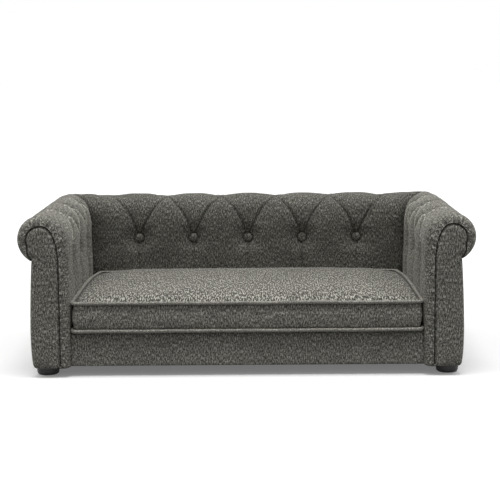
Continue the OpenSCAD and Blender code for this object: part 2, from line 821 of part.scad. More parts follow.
// The front of the rail's cover, with its rounded top edge
module rail_cover_section() {
  high = deck_z - base_z;
  square([rail_cloth_t, high - rail_cover_r]);
  translate([rail_cover_r, high - rail_cover_r]) intersection() {
    circle(r = rail_cover_r);
    translate([-rail_cover_r, 0]) square([rail_cover_r, rail_cover_r]);
  }
  translate([rail_cover_r, high - rail_cover_r]) square([rail_cloth_t - rail_cover_r, rail_cover_r]);
}

// The zip's strip in the rear boxing, also as its window
module zip_strip(from, to) {
  translate([-zip_l / 2, from, zip_z - zip_w / 2]) cube([zip_l, to - from, zip_w]);
}

// The nodes
module front_rail() {
  color(timber) translate([-rail_half, rail_front_y, wood_z])
    cube([2 * rail_half, rail_t, rail_top - wood_z]);
}
module back_rail() {
  color(timber) difference() {
    translate([-roll_x - side_rail_in_u, back_rail_y, wood_z])
      cube([2 * (roll_x + side_rail_in_u), rail_t, rail_top - wood_z]);
    rail_screw_holes();
    mirror([1, 0, 0]) rail_screw_holes();
  }
}
module left_side_rail() {
  color(timber) left_rail_solid();
}
module right_side_rail() {
  color(timber) mirror([1, 0, 0]) left_rail_solid();
}
module centre_rails() {
  color(timber) for (side = [-1, 1])
    translate([side * centre_rail_x - centre_rail_w / 2, rail_front_y + rail_t, wood_z])
      cube([centre_rail_w, back_rail_y - rail_front_y - rail_t, rail_top - wood_z]);
}
module corner_blocks() {
  inner_x = roll_x + side_rail_in_u;
  color(timber) for (side = [0, 1]) mirror([side, 0, 0]) {
    translate([inner_x, rail_front_y + rail_t, wood_z])
      linear_extrude(side_rail_h) polygon([[0, 0], [0, block_leg], [-block_leg, 0]]);
    translate([inner_x, back_rail_y, wood_z])
      linear_extrude(side_rail_h) polygon([[0, 0], [0, -block_leg], [-block_leg, 0]]);
  }
}
module corner_posts() {
  narrow = post_w - post_notch;
  color(timber) for (side = [0, 1]) mirror([side, 0, 0])
    translate([roll_x + panel_u, roll_y + panel_u, wood_z]) {
      cube([post_w, post_w, post_low_z - wood_z]);
      cube([narrow, narrow, roll_z - pole_r - fit - wood_z]);
    }
}
module seat_deck() {
  color(plywood) translate([-rail_half, rail_front_y, rail_top])
    cube([2 * rail_half, roll_y + lining_u - rail_front_y, deck_t]);
}
module left_arm_front_board() {
  color(plywood) on_left() run(lip_y, board_back_y) front_board_section();
}
module right_arm_front_board() {
  color(plywood) on_right() run(lip_y, board_back_y) front_board_section();
}
module left_arm_inner_panel() {
  color(plywood) on_left() arm_inner_panel();
}
module right_arm_inner_panel() {
  color(plywood) on_right() arm_inner_panel();
}
module left_arm_outer_board() {
  color(hardboard) on_left() arm_outer_board();
}
module right_arm_outer_board() {
  color(hardboard) on_right() arm_outer_board();
}
module back_inner_panel() {
  half = roll_x + panel_u;
  color(plywood) on_back() difference() {
    translate([-half, panel_u, wood_z]) cube([2 * half, panel_t, pole_seat_z - wood_z]);
    tie_holes(back_button_s);
  }
}
module back_outer_board() {
  color(hardboard) on_back() back_run() translate([outer_board_u, wood_z])
    square([outer_board_t, neck_z - fit - wood_z]);
}
module left_arm_pole() {
  color(timber) on_left() arm_pole();
}
module right_arm_pole() {
  color(timber) on_right() arm_pole();
}
module back_pole() {
  color(timber) on_back() back_run() translate([0, roll_z]) circle(r = pole_r);
}
module left_arm_foam() {
  color(foam_colour) on_left() arm_foam();
}
module right_arm_foam() {
  color(foam_colour) on_right() arm_foam();
}
module back_foam() {
  color(foam_colour) on_back() difference() {
    back_run() foam_section();
    tie_holes(back_button_s);
  }
}
module left_arm_cover() {
  color(cloth) on_left() arm_cover();
}
module right_arm_cover() {
  color(cloth) on_right() arm_cover();
}
module back_cover() {
  color(cloth) on_back() tufted_shell(back_skin, back_lining, back_turns, 0);
}
module left_outer_arm_cover() {
  color(cloth) on_left() outer_cloth();
}
module right_outer_arm_cover() {
  color(cloth) on_right() outer_cloth();
}
module outer_back_cover() {
  color(cloth) on_back() back_run() outer_cloth_section();
}
module left_arm_facing() {
  color(cloth) on_left() facing();
}
module right_arm_facing() {
  color(cloth) on_right() facing();
}
module front_rail_cover() {
  half = face_x - fit;
  color(cloth) translate([-half, rail_front_y - rail_cloth_t, base_z])
    rotate([90, 0, 90]) linear_extrude(2 * half) rail_cover_section();
}
module deck_cover() {
  color(cloth) translate([-face_x, rail_front_y, deck_z - deck_cloth_t])
    cube([2 * face_x, face_y + pad_t - rail_front_y, deck_cloth_t]);
}
module dust_cover() {
  half = roll_x + outer_board_u + outer_board_t;
  color(black) difference() {
    translate([-half, lip_y, base_z])
      cube([2 * half, roll_y + outer_board_u + outer_board_t - lip_y, dust_t]);
    at_feet() translate([0, 0, base_z - over]) cylinder(h = dust_t + 2 * over, d = bolt_d + 2 * pilot);
    translate([-face_x - pad_t, lip_y - over, base_z - over])
      cube([2 * (face_x + pad_t), rail_front_y - lip_y + over, dust_t + 2 * over]);
  }
}
module back_buttons() {
  color(cloth) on_back() button_row(back_button_s);
}
module left_arm_buttons() {
  color(cloth) on_left() button_row(arm_button_s);
}
module right_arm_buttons() {
  color(cloth) on_right() button_row(arm_button_s);
}
module back_button_ties() {
  color(steel) on_back() button_ties(back_button_s);
}
module left_arm_button_ties() {
  color(steel) on_left() button_ties(arm_button_s);
}
module right_arm_button_ties() {
  color(steel) on_right() button_ties(arm_button_s);
}
module front_left_foot() {
  color(black) translate([-foot_x, foot_front_y, 0]) foot();
}
module front_right_foot() {
  color(black) translate([foot_x, foot_front_y, 0]) foot();
}
module rear_left_foot() {
  color(black) translate([-foot_x, foot_rear_y, 0]) foot();
}
module rear_right_foot() {
  color(black) translate([foot_x, foot_rear_y, 0]) foot();
}
module foot_bolts() {
  color(steel) at_feet() {
    translate([0, 0, foot_socket_h - bolt_head_h])
      cylinder(h = bolt_head_h, d = foot_socket_d - 2 * pilot);
    translate([0, 0, foot_socket_h]) cylinder(h = bolt_l, d = bolt_d);
  }
}
module foot_nuts() {
  color(steel) at_feet() translate([0, 0, wood_z]) difference() {
    union() {
      cylinder(h = nut_flange_t, d = nut_flange_d);
      cylinder(h = nut_h, d = nut_d);
    }
    translate([0, 0, -over]) cylinder(h = nut_h + 2 * over, d = bolt_d + pilot);
  }
}
module frame_screws() {
  color(steel) {
    rail_screws(false);
    mirror([1, 0, 0]) rail_screws(false);
  }
}
module dust_cover_staples() {
  count = floor((2 * rail_half - 2 * staple_in) / staple_pitch);
  color(steel) for (i = [0:count]) for (y = [rail_front_y + rail_t / 2, back_rail_y + rail_t / 2])
    translate([(i - count / 2) * staple_pitch - staple_w / 2, y - staple_t / 2, base_z - staple_t])
      cube([staple_w, staple_t, staple_t]);
}
module cushion_foam() {
  inset = seam_in + boxing_t + 2 * fit;
  low = cushion_z + panel_cloth_t + fit;
  color(foam_colour) translate([0, cushion_y, low])
    rounded_plate(cushion_hx - inset, cushion_hy - inset, cushion_corner_r, panel_z - fit - low);
}
module cushion_top_panel() {
  color(cloth_light) translate([0, cushion_y, panel_z]) crowned_panel();
}
module cushion_boxing() {
  color(cloth_light) difference() {
    translate([0, cushion_y, 0]) round_loop(cushion_hx, cushion_hy, cushion_corner_r) boxing_section();
    zip_strip(cushion_y, cushion_back + over);
  }
}
module cushion_bottom_panel() {
  color(cloth_light) translate([0, cushion_y, cushion_z])
    rounded_plate(panel_hx, panel_hy, cushion_corner_r - seam_in, panel_cloth_t);
}
module cushion_top_piping() {
  color(cloth_light) piping(piping_top_z);
}
module cushion_bottom_piping() {
  color(cloth_light) piping(piping_low_z);
}
module zip_tape() {
  color(black) zip_strip(zip_y - zip_t, zip_y);
}
module zip_slider() {
  color(steel) {
    translate([slider_x - slider_l / 2, slider_y, zip_z - slider_w / 2])
      cube([slider_l, slider_t, slider_w]);
    translate([slider_x, pull_y, zip_z]) {
      cylinder(h = pull_w + 2 * fit + 2 * slider_cheek_t, r = pull_pin_r, center = true, $fn = 24);
      for (side = [0, 1]) mirror([0, 0, side]) translate([0, 0, pull_w / 2 + fit]) {
        cylinder(h = slider_cheek_t, r = pull_eye_r, $fn = 24);
        translate([-pull_eye_r, slider_y + slider_t - pull_y, 0])
          cube([2 * pull_eye_r, pull_y - slider_y - slider_t, slider_cheek_t]);
      }
    }
  }
}
module zip_pull() {
  color(steel) translate([slider_x, pull_y, zip_z]) difference() {
    union() {
      cylinder(h = pull_w, r = pull_eye_r, center = true, $fn = 24);
      translate([0, -pull_t / 2, -pull_w / 2]) cube([pull_l, pull_t, pull_w]);
    }
    cylinder(h = pull_w + 2 * over, r = pull_hole_r, center = true, $fn = 24);
    translate([pull_l - pull_tip_in, 0, 0]) rotate([90, 0, 0])
      cylinder(h = pull_t + 2 * over, d = pull_tip_hole_d, center = true, $fn = 24);
  }
}

front_rail();
back_rail();
left_side_rail();
right_side_rail();
centre_rails();
corner_blocks();
corner_posts();
seat_deck();
left_arm_front_board();
right_arm_front_board();
left_arm_inner_panel();
right_arm_inner_panel();
left_arm_outer_board();
right_arm_outer_board();
back_inner_panel();
back_outer_board();
left_arm_pole();
right_arm_pole();
back_pole();
left_arm_foam();
right_arm_foam();
back_foam();
left_arm_cover();
right_arm_cover();
back_cover();
left_outer_arm_cover();
right_outer_arm_cover();
outer_back_cover();
left_arm_facing();
right_arm_facing();
front_rail_cover();
deck_cover();
dust_cover();
back_buttons();
left_arm_buttons();
right_arm_buttons();
back_button_ties();
left_arm_button_ties();
right_arm_button_ties();
front_left_foot();
front_right_foot();
rear_left_foot();
rear_right_foot();
foot_bolts();
foot_nuts();
frame_screws();
dust_cover_staples();
cushion_foam();
cushion_top_panel();
cushion_boxing();
cushion_bottom_panel();
cushion_top_piping();
cushion_bottom_piping();
zip_tape();
zip_slider();
zip_pull();
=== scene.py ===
"""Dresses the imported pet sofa: tufted chenille covers, a piped box cushion and its frame.

Lengths are in millimetres up to the point where a mesh is made, and in metres from there on.
A scroll section is described in its own frame: s runs along the arm or the back, u points
out of the sofa from the scroll's axis, and z is the height above the floor.
"""

from __future__ import annotations

import logging
import math
from dataclasses import dataclass, replace
from enum import Enum
from typing import Any, Sequence

import bmesh
import bpy
import numpy as np
from mathutils import Euler, Matrix


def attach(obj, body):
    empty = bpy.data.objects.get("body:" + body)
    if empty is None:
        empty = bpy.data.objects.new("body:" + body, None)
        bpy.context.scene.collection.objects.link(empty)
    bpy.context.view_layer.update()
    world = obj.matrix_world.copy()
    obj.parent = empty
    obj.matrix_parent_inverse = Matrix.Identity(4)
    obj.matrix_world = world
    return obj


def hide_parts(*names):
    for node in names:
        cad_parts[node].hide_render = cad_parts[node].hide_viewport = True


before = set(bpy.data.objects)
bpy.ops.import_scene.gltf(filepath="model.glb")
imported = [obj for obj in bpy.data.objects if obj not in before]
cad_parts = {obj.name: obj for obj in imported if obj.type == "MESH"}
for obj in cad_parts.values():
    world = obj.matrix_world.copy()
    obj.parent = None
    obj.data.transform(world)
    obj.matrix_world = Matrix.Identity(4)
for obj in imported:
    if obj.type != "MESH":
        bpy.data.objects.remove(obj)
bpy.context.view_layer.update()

MM = 0.001
# A distance to a seam that is too far to matter
FAR = 1e3
# The cloth coordinates, and the painted light on the cloth: a painted highlight above 0, painted shade below
WEAVE = "weave"
PAINTED_LIGHT = "bloom"
# The back's buttons sit this much lower than the arms'
BACK_BUTTONS_LOWER = 3.5
Grid = np.ndarray
log = logging.getLogger("sofa")

# The nodes that keep their CAD form, by finish
FRAME_FINISHES: dict[str, tuple[str, ...]] = {
    "timber": (
        "front_rail",
        "back_rail",
        "left_side_rail",
        "right_side_rail",
        "centre_rails",
        "corner_blocks",
        "corner_posts",
        "left_arm_pole",
        "right_arm_pole",
        "back_pole",
    ),
    "plywood": (
        "seat_deck",
        "left_arm_front_board",
        "right_arm_front_board",
        "left_arm_inner_panel",
        "right_arm_inner_panel",
        "back_inner_panel",
    ),
    "hardboard": ("left_arm_outer_board", "right_arm_outer_board", "back_outer_board"),
    "steel": (
        "back_button_ties",
        "left_arm_button_ties",
        "right_arm_button_ties",
        "foot_bolts",
        "foot_nuts",
        "frame_screws",
        "dust_cover_staples",
        "zip_slider",
        "zip_pull",
    ),
    "tape": ("zip_tape",),
    "plastic": ("front_left_foot", "front_right_foot", "rear_left_foot", "rear_right_foot"),
}


# Small helpers


def linear(colour: str) -> tuple[float, float, float, float]:
    """Turns an sRGB hex colour into linear values.

    Args:
        colour: The colour as "#rrggbb".

    Returns:
        Red, green, blue and an alpha of 1.
    """
    parts = [int(colour[i : i + 2], 16) / 255 for i in (1, 3, 5)]
    red, green, blue = (p / 12.92 if p <= 0.04045 else ((p + 0.055) / 1.055) ** 2.4 for p in parts)
    return red, green, blue, 1.0


def add_node(
    tree: bpy.types.NodeTree,
    kind: str,
    settings: dict[str, Any] | None = None,
    inputs: dict[str | int, Any] | None = None,
) -> bpy.types.Node:
    """Adds a node with its settings, values and links.

    Args:
        tree: The tree that gets the node.
        kind: The node's type name.
        settings: The node's own properties.
        inputs: Values by input, or output sockets that are linked to it.

    Returns:
        The new node.
    """
    made = tree.nodes.new(kind)
    for name, value in (settings or {}).items():
        setattr(made, name, value)
    for key, value in (inputs or {}).items():
        if isinstance(value, bpy.types.NodeSocket):
            tree.links.new(value, made.inputs[key])
        else:
            made.inputs[key].default_value = value
    return made


def waves(x: Grid, y: Grid, size: float, seed: int, stretch: float = 1.0) -> Grid:
    """Smooth seeded unevenness, as a sum of plane waves.

    Args:
        x: First coordinate, in millimetres.
        y: Second coordinate, in millimetres.
        size: The typical distance between two bumps.
        seed: Chooses the pattern.
        stretch: How much longer the bumps are along y.

    Returns:
        Values of about -1 to 1.
    """
    rng = np.random.default_rng(seed)
    total = np.zeros(np.broadcast(x, y).shape)
    for _ in range(14):
        turn, phase = rng.uniform(0, math.tau, 2)
        k = math.tau / (size * rng.uniform(0.7, 1.8))
        total = total + np.cos(k * (x * math.cos(turn) + y * math.sin(turn) / stretch) + phase)
    return total / 5.0


def smooth_step(t: Grid) -> Grid:
    """Eases from 0 to 1 over the same range."""
    t = np.clip(t, 0, 1)
    return t * t * (3 - 2 * t)


def spread(low: float, high: float, step: float) -> Grid:
    """Evenly spaced values, a step or less apart, both ends included."""
    return np.linspace(low, high, max(2, int(math.ceil(abs(high - low) / step)) + 1))


def run_along(line: Grid) -> Grid:
    """The length along a line of points, from its start."""
    return np.concatenate([[0], np.cumsum(np.linalg.norm(np.diff(line, axis=0), axis=1))])


def evenly(line: Grid, count: int) -> Grid:
    """Points spaced evenly by length along a line in a plane."""
    run = run_along(line)
    at = np.linspace(0, run[-1], count)
    return np.stack([np.interp(at, run, line[:, k]) for k in (0, 1)], -1)


def edge_distance(grid: Grid, outline: Grid) -> Grid:
    """How far each point of a grid in a plane lies from a closed outline.

    Args:
        grid: The points, by row and column.
        outline: The outline's points in order.

    Returns:
        A distance for each row and column.
    """
    edge = np.roll(outline, -1, 0) - outline
    size = np.maximum((edge**2).sum(1), 1e-9)
    away = grid[:, :, None, :] - outline
    t = np.clip((away * edge).sum(-1) / size, 0, 1)
    return np.linalg.norm(away - t[..., None] * edge, axis=-1).min(-1)


def mesh_object(
    name: str,
    points: Grid,
    faces: Sequence[Sequence[int]],
    weave: Grid | None,
    material: bpy.types.Material,
    sharp: float = 55.0,
    bloom: Grid | None = None,
) -> bpy.types.Object:
    """Makes a closed, merged, smooth mesh with outward faces.

    Args:
        name: The piece's name.
        points: Points in millimetres.
        faces: Point numbers of each face.
        weave: Cloth coordinates of the points, in millimetres, or None.
        material: The piece's finish.
        sharp: Edges that turn by more degrees than this stay crisp.
        bloom: Painted light at each point: a painted highlight above 0, painted shade below.

    Returns:
        The new object, at the origin.
    """
    data = bpy.data.meshes.new(name)
    data.from_pydata((points * MM).tolist(), [], [list(f) for f in faces])
    if weave is not None:
        layer = data.uv_layers.new(name=WEAVE)
        order = np.zeros(len(data.loops), np.int32)
        data.loops.foreach_get("vertex_index", order)
        layer.data.foreach_set("uv", (weave[order] * MM).astype(np.float32).ravel())
    if bloom is not None:
        shade = data.attributes.new(PAINTED_LIGHT, "FLOAT", "POINT")
        shade.data.foreach_set("value", bloom.astype(np.float32).ravel())
    work = bmesh.new()
    work.from_mesh(data)
    bmesh.ops.remove_doubles(work, verts=work.verts, dist=1e-6)
    bmesh.ops.dissolve_degenerate(work, edges=work.edges, dist=1e-7)
    loose = [v for v in work.verts if not v.link_faces]
    bmesh.ops.delete(work, geom=loose, context="VERTS")
    bmesh.ops.recalc_face_normals(work, faces=work.faces)
    work.to_mesh(data)
    work.free()
    data.shade_smooth()
    data.set_sharp_from_angle(angle=math.radians(sharp))
    data.materials.append(material)
    made = bpy.data.objects.new(name, data)
    bpy.context.scene.collection.objects.link(made)
    return made


def shell(
    name: str,
    front: Grid,
    back: Grid,
    weave: Grid,
    material: bpy.types.Material,
    keep: Grid | None = None,
    ring: bool = False,
    bloom: Grid | None = None,
) -> bpy.types.Object:
    """Makes a closed shell from a grid of points and the grid behind it.

    Args:
        name: The piece's name.
        front: Points of the shown side, rows by columns by 3, in millimetres.
        back: Points of the hidden side, in the same layout.
        weave: Cloth coordinates, rows by columns by 2, in millimetres.
        material: The piece's finish.
        keep: Which cells exist, or None for all.
        ring: Whether the last column joins the first.
        bloom: Painted light at each point, rows by columns, or None.

    Returns:
        The new object.
    """
    rows, columns = front.shape[:2]
    bloom = np.zeros((rows, columns)) if bloom is None else bloom
    if ring:
        grids = (front, back, weave, bloom)
        front, back, weave, bloom = (np.concatenate([g, g[:, :1]], 1) for g in grids)
        weave = weave.copy()
        weave[:, -1, 0] += np.linalg.norm(front[0, -1] - front[0, -2])
        columns += 1
    keep = np.ones((rows - 1, columns - 1), bool) if keep is None else keep
    points = np.concatenate([front.reshape(-1, 3), back.reshape(-1, 3)])
    cloth = np.concatenate([weave.reshape(-1, 2), weave.reshape(-1, 2)])
    base = rows * columns
    faces: list[tuple[int, ...]] = []
    for j, i in zip(*np.nonzero(keep)):
        a = int(j * columns + i)
        b, c, d = a + 1, a + 1 + columns, a + columns
        faces.append((a, b, c, d))
        faces.append((base + a, base + d, base + c, base + b))
        around = ((a, b, j - 1, i), (b, c, j, i + 1), (c, d, j + 1, i), (d, a, j, i - 1))
        for p, q, jj, ii in around:
            if ring and ii in (-1, columns - 1):
                continue
            inside = 0 <= jj < rows - 1 and 0 <= ii < columns - 1 and keep[jj, ii]
            if not inside:
                faces.append((q, p, base + p, base + q))
    both = np.concatenate([bloom.ravel(), bloom.ravel()])
    return mesh_object(name, points, faces, cloth, material, bloom=both)


def plain_mesh(source: bpy.types.Object, name: str) -> bpy.types.Object:
    """Turns an object with its modifiers into a plain mesh object, and removes the source."""
    bpy.context.view_layer.update()
    graph = bpy.context.evaluated_depsgraph_get()
    data = bpy.data.meshes.new_from_object(source.evaluated_get(graph), depsgraph=graph)
    made = bpy.data.objects.new(name, data)
    bpy.context.scene.collection.objects.link(made)
    bpy.data.objects.remove(source)
    return made


@dataclass
class Sheet:
    """A grid of cloth that swells while its seams and stitches hold it."""

    points: Grid
    held: Grid
    under: Grid
    ring: bool = False

    def faces(self, first: int) -> list[tuple[int, int, int, int]]:
        """The cells as quads that face away from the sheet's underside.

        Args:
            first: Number of the sheet's first point.

        Returns:
            Point numbers of each quad.
        """
        rows, columns = self.points.shape[:2]
        across = columns if self.ring else columns - 1
        j, i = np.meshgrid(np.arange(rows - 1), np.arange(across), indexing="ij")
        right = (i + 1) % columns
        here, above = j * columns, (j + 1) * columns
        quads = np.stack([here + i, here + right, above + right, above + i], -1)
        flat, deep = self.points.reshape(-1, 3), self.under.reshape(-1, 3)
        quads = quads.reshape(-1, 4)
        corner = flat[quads]
        normal = np.cross(corner[:, 2] - corner[:, 0], corner[:, 3] - corner[:, 1])
        if (normal * (flat - deep)[quads[:, 0]]).sum() < 0:
            quads = quads[:, ::-1]
        return [tuple(q) for q in (quads + first).tolist()]


@dataclass(frozen=True)
class Filling:
    """How filled cloth settles between its seams, in Blender's cloth solver."""

    pressure: float
    cap_mm: float
    slack: float
    frames: int = 20
    cloth_kg: float = 0.3
    stretch: float = 25.0
    shear: float = 12.0
    bending: float = 0.6

    def settle(self, sheets: list[Sheet]) -> list[Grid]:
        """Lets the sheets round one filling swell.

        Args:
            sheets: The sheets that enclose the filling.

        Returns:
            The settled points of each sheet.
        """
        starts = np.cumsum([0] + [sheet.held.size for sheet in sheets])
        points = np.concatenate([sheet.points.reshape(-1, 3) for sheet in sheets])
        faces = [f for sheet, first in zip(sheets, starts) for f in sheet.faces(int(first))]
        held = np.concatenate([sheet.held.ravel() for sheet in sheets])
        move = self._run(points, faces, held) - points
        far = np.linalg.norm(move, axis=1, keepdims=True)
        log.info("settled: mean %.2f mm, most %.2f mm", far.mean(), far.max())
        move *= np.tanh(far / self.cap_mm) * self.cap_mm / np.maximum(far, 1e-9) * (1 - held[:, None])
        parts = zip(sheets, starts[:-1], starts[1:])
        return [sheet.points + move[a:b].reshape(sheet.points.shape) for sheet, a, b in parts]

    def _run(self, points: Grid, faces: list[tuple[int, int, int, int]], held: Grid) -> Grid:
        """Runs the solver.

        Args:
            points: Points in millimetres.
            faces: Point numbers of each quad.
            held: How firmly seams and stitches hold each point, from 0 to 1.

        Returns:
            The settled points.
        """
        data = bpy.data.meshes.new("settling")
        data.from_pydata((points * MM).tolist(), [], faces)
        cloth = bpy.data.objects.new("settling", data)
        bpy.context.scene.collection.objects.link(cloth)
        group = cloth.vertex_groups.new(name="held")
        for level in range(1, 11):
            some = np.nonzero(np.round(held * 10) == level)[0].tolist()
            if some:
                group.add(some, level / 10, "REPLACE")
        solver = cloth.modifiers.new("cloth", "CLOTH")
        rule = solver.settings
        rule.quality = 5
        rule.mass = self.cloth_kg
        rule.tension_stiffness = self.stretch
        rule.compression_stiffness = self.stretch
        rule.shear_stiffness = self.shear
        rule.bending_stiffness = self.bending
        rule.vertex_group_mass = "held"
        rule.use_pressure = True
        rule.uniform_pressure_force = self.pressure
        rule.shrink_min = -self.slack
        rule.effector_weights.gravity = 0
        solver.collision_settings.use_collision = False
        solver.collision_settings.use_self_collision = False
        solver.point_cache.frame_start = 1
        solver.point_cache.frame_end = self.frames
        scene = bpy.context.scene
        for step in range(1, self.frames + 1):
            scene.frame_set(step)
        settled = cloth.evaluated_get(bpy.context.evaluated_depsgraph_get()).data
        now = np.zeros(len(points) * 3, np.float32)
        settled.vertices.foreach_get("co", now)
        bpy.data.objects.remove(cloth)
        scene.frame_set(1)
        return now.reshape(-1, 3) / MM


TUFT_FILLING = Filling(pressure=3.0, cap_mm=1.5, slack=0.006)
CUSHION_FILLING = Filling(pressure=4.0, cap_mm=3.0, slack=0.012)


def swell_tufts(front: Grid, back: Grid, held: Grid) -> Grid:
    """Settles a tufted cover on every second row and column.

    Args:
        front: The shown side.
        back: The side on the wadding.
        held: How firmly the stitches hold each point.

    Returns:
        The settled shown side.
    """
    rows, columns = front.shape[:2]
    j = np.unique(np.append(np.arange(0, rows, 2), rows - 1))
    i = np.unique(np.append(np.arange(0, columns, 2), columns - 1))
    pick = np.ix_(j, i)
    held = held.copy()
    held[:2] = held[-2:] = 1
    held[:, :2] = held[:, -2:] = 1
    sheet = Sheet(front[pick], held[pick], back[pick])
    move = TUFT_FILLING.settle([sheet])[0] - sheet.points
    tall = np.zeros((rows, len(i), 3))
    wide = np.zeros((rows, columns, 3))
    for axis in range(3):
        for k in range(len(i)):
            tall[:, k, axis] = np.interp(np.arange(rows), j, move[:, k, axis])
        for k in range(rows):
            wide[k, :, axis] = np.interp(np.arange(columns), i, tall[k, :, axis])
    return front + wide


# Finishes


def blank_material(name: str) -> tuple[bpy.types.Material, bpy.types.NodeTree]:
    """Makes a material whose node tree is empty.

    Args:
        name: The finish's name.

    Returns:
        The material and its tree.
    """
    material = bpy.data.materials.new(name)
    material.use_nodes = True
    material.node_tree.nodes.clear()
    return material, material.node_tree


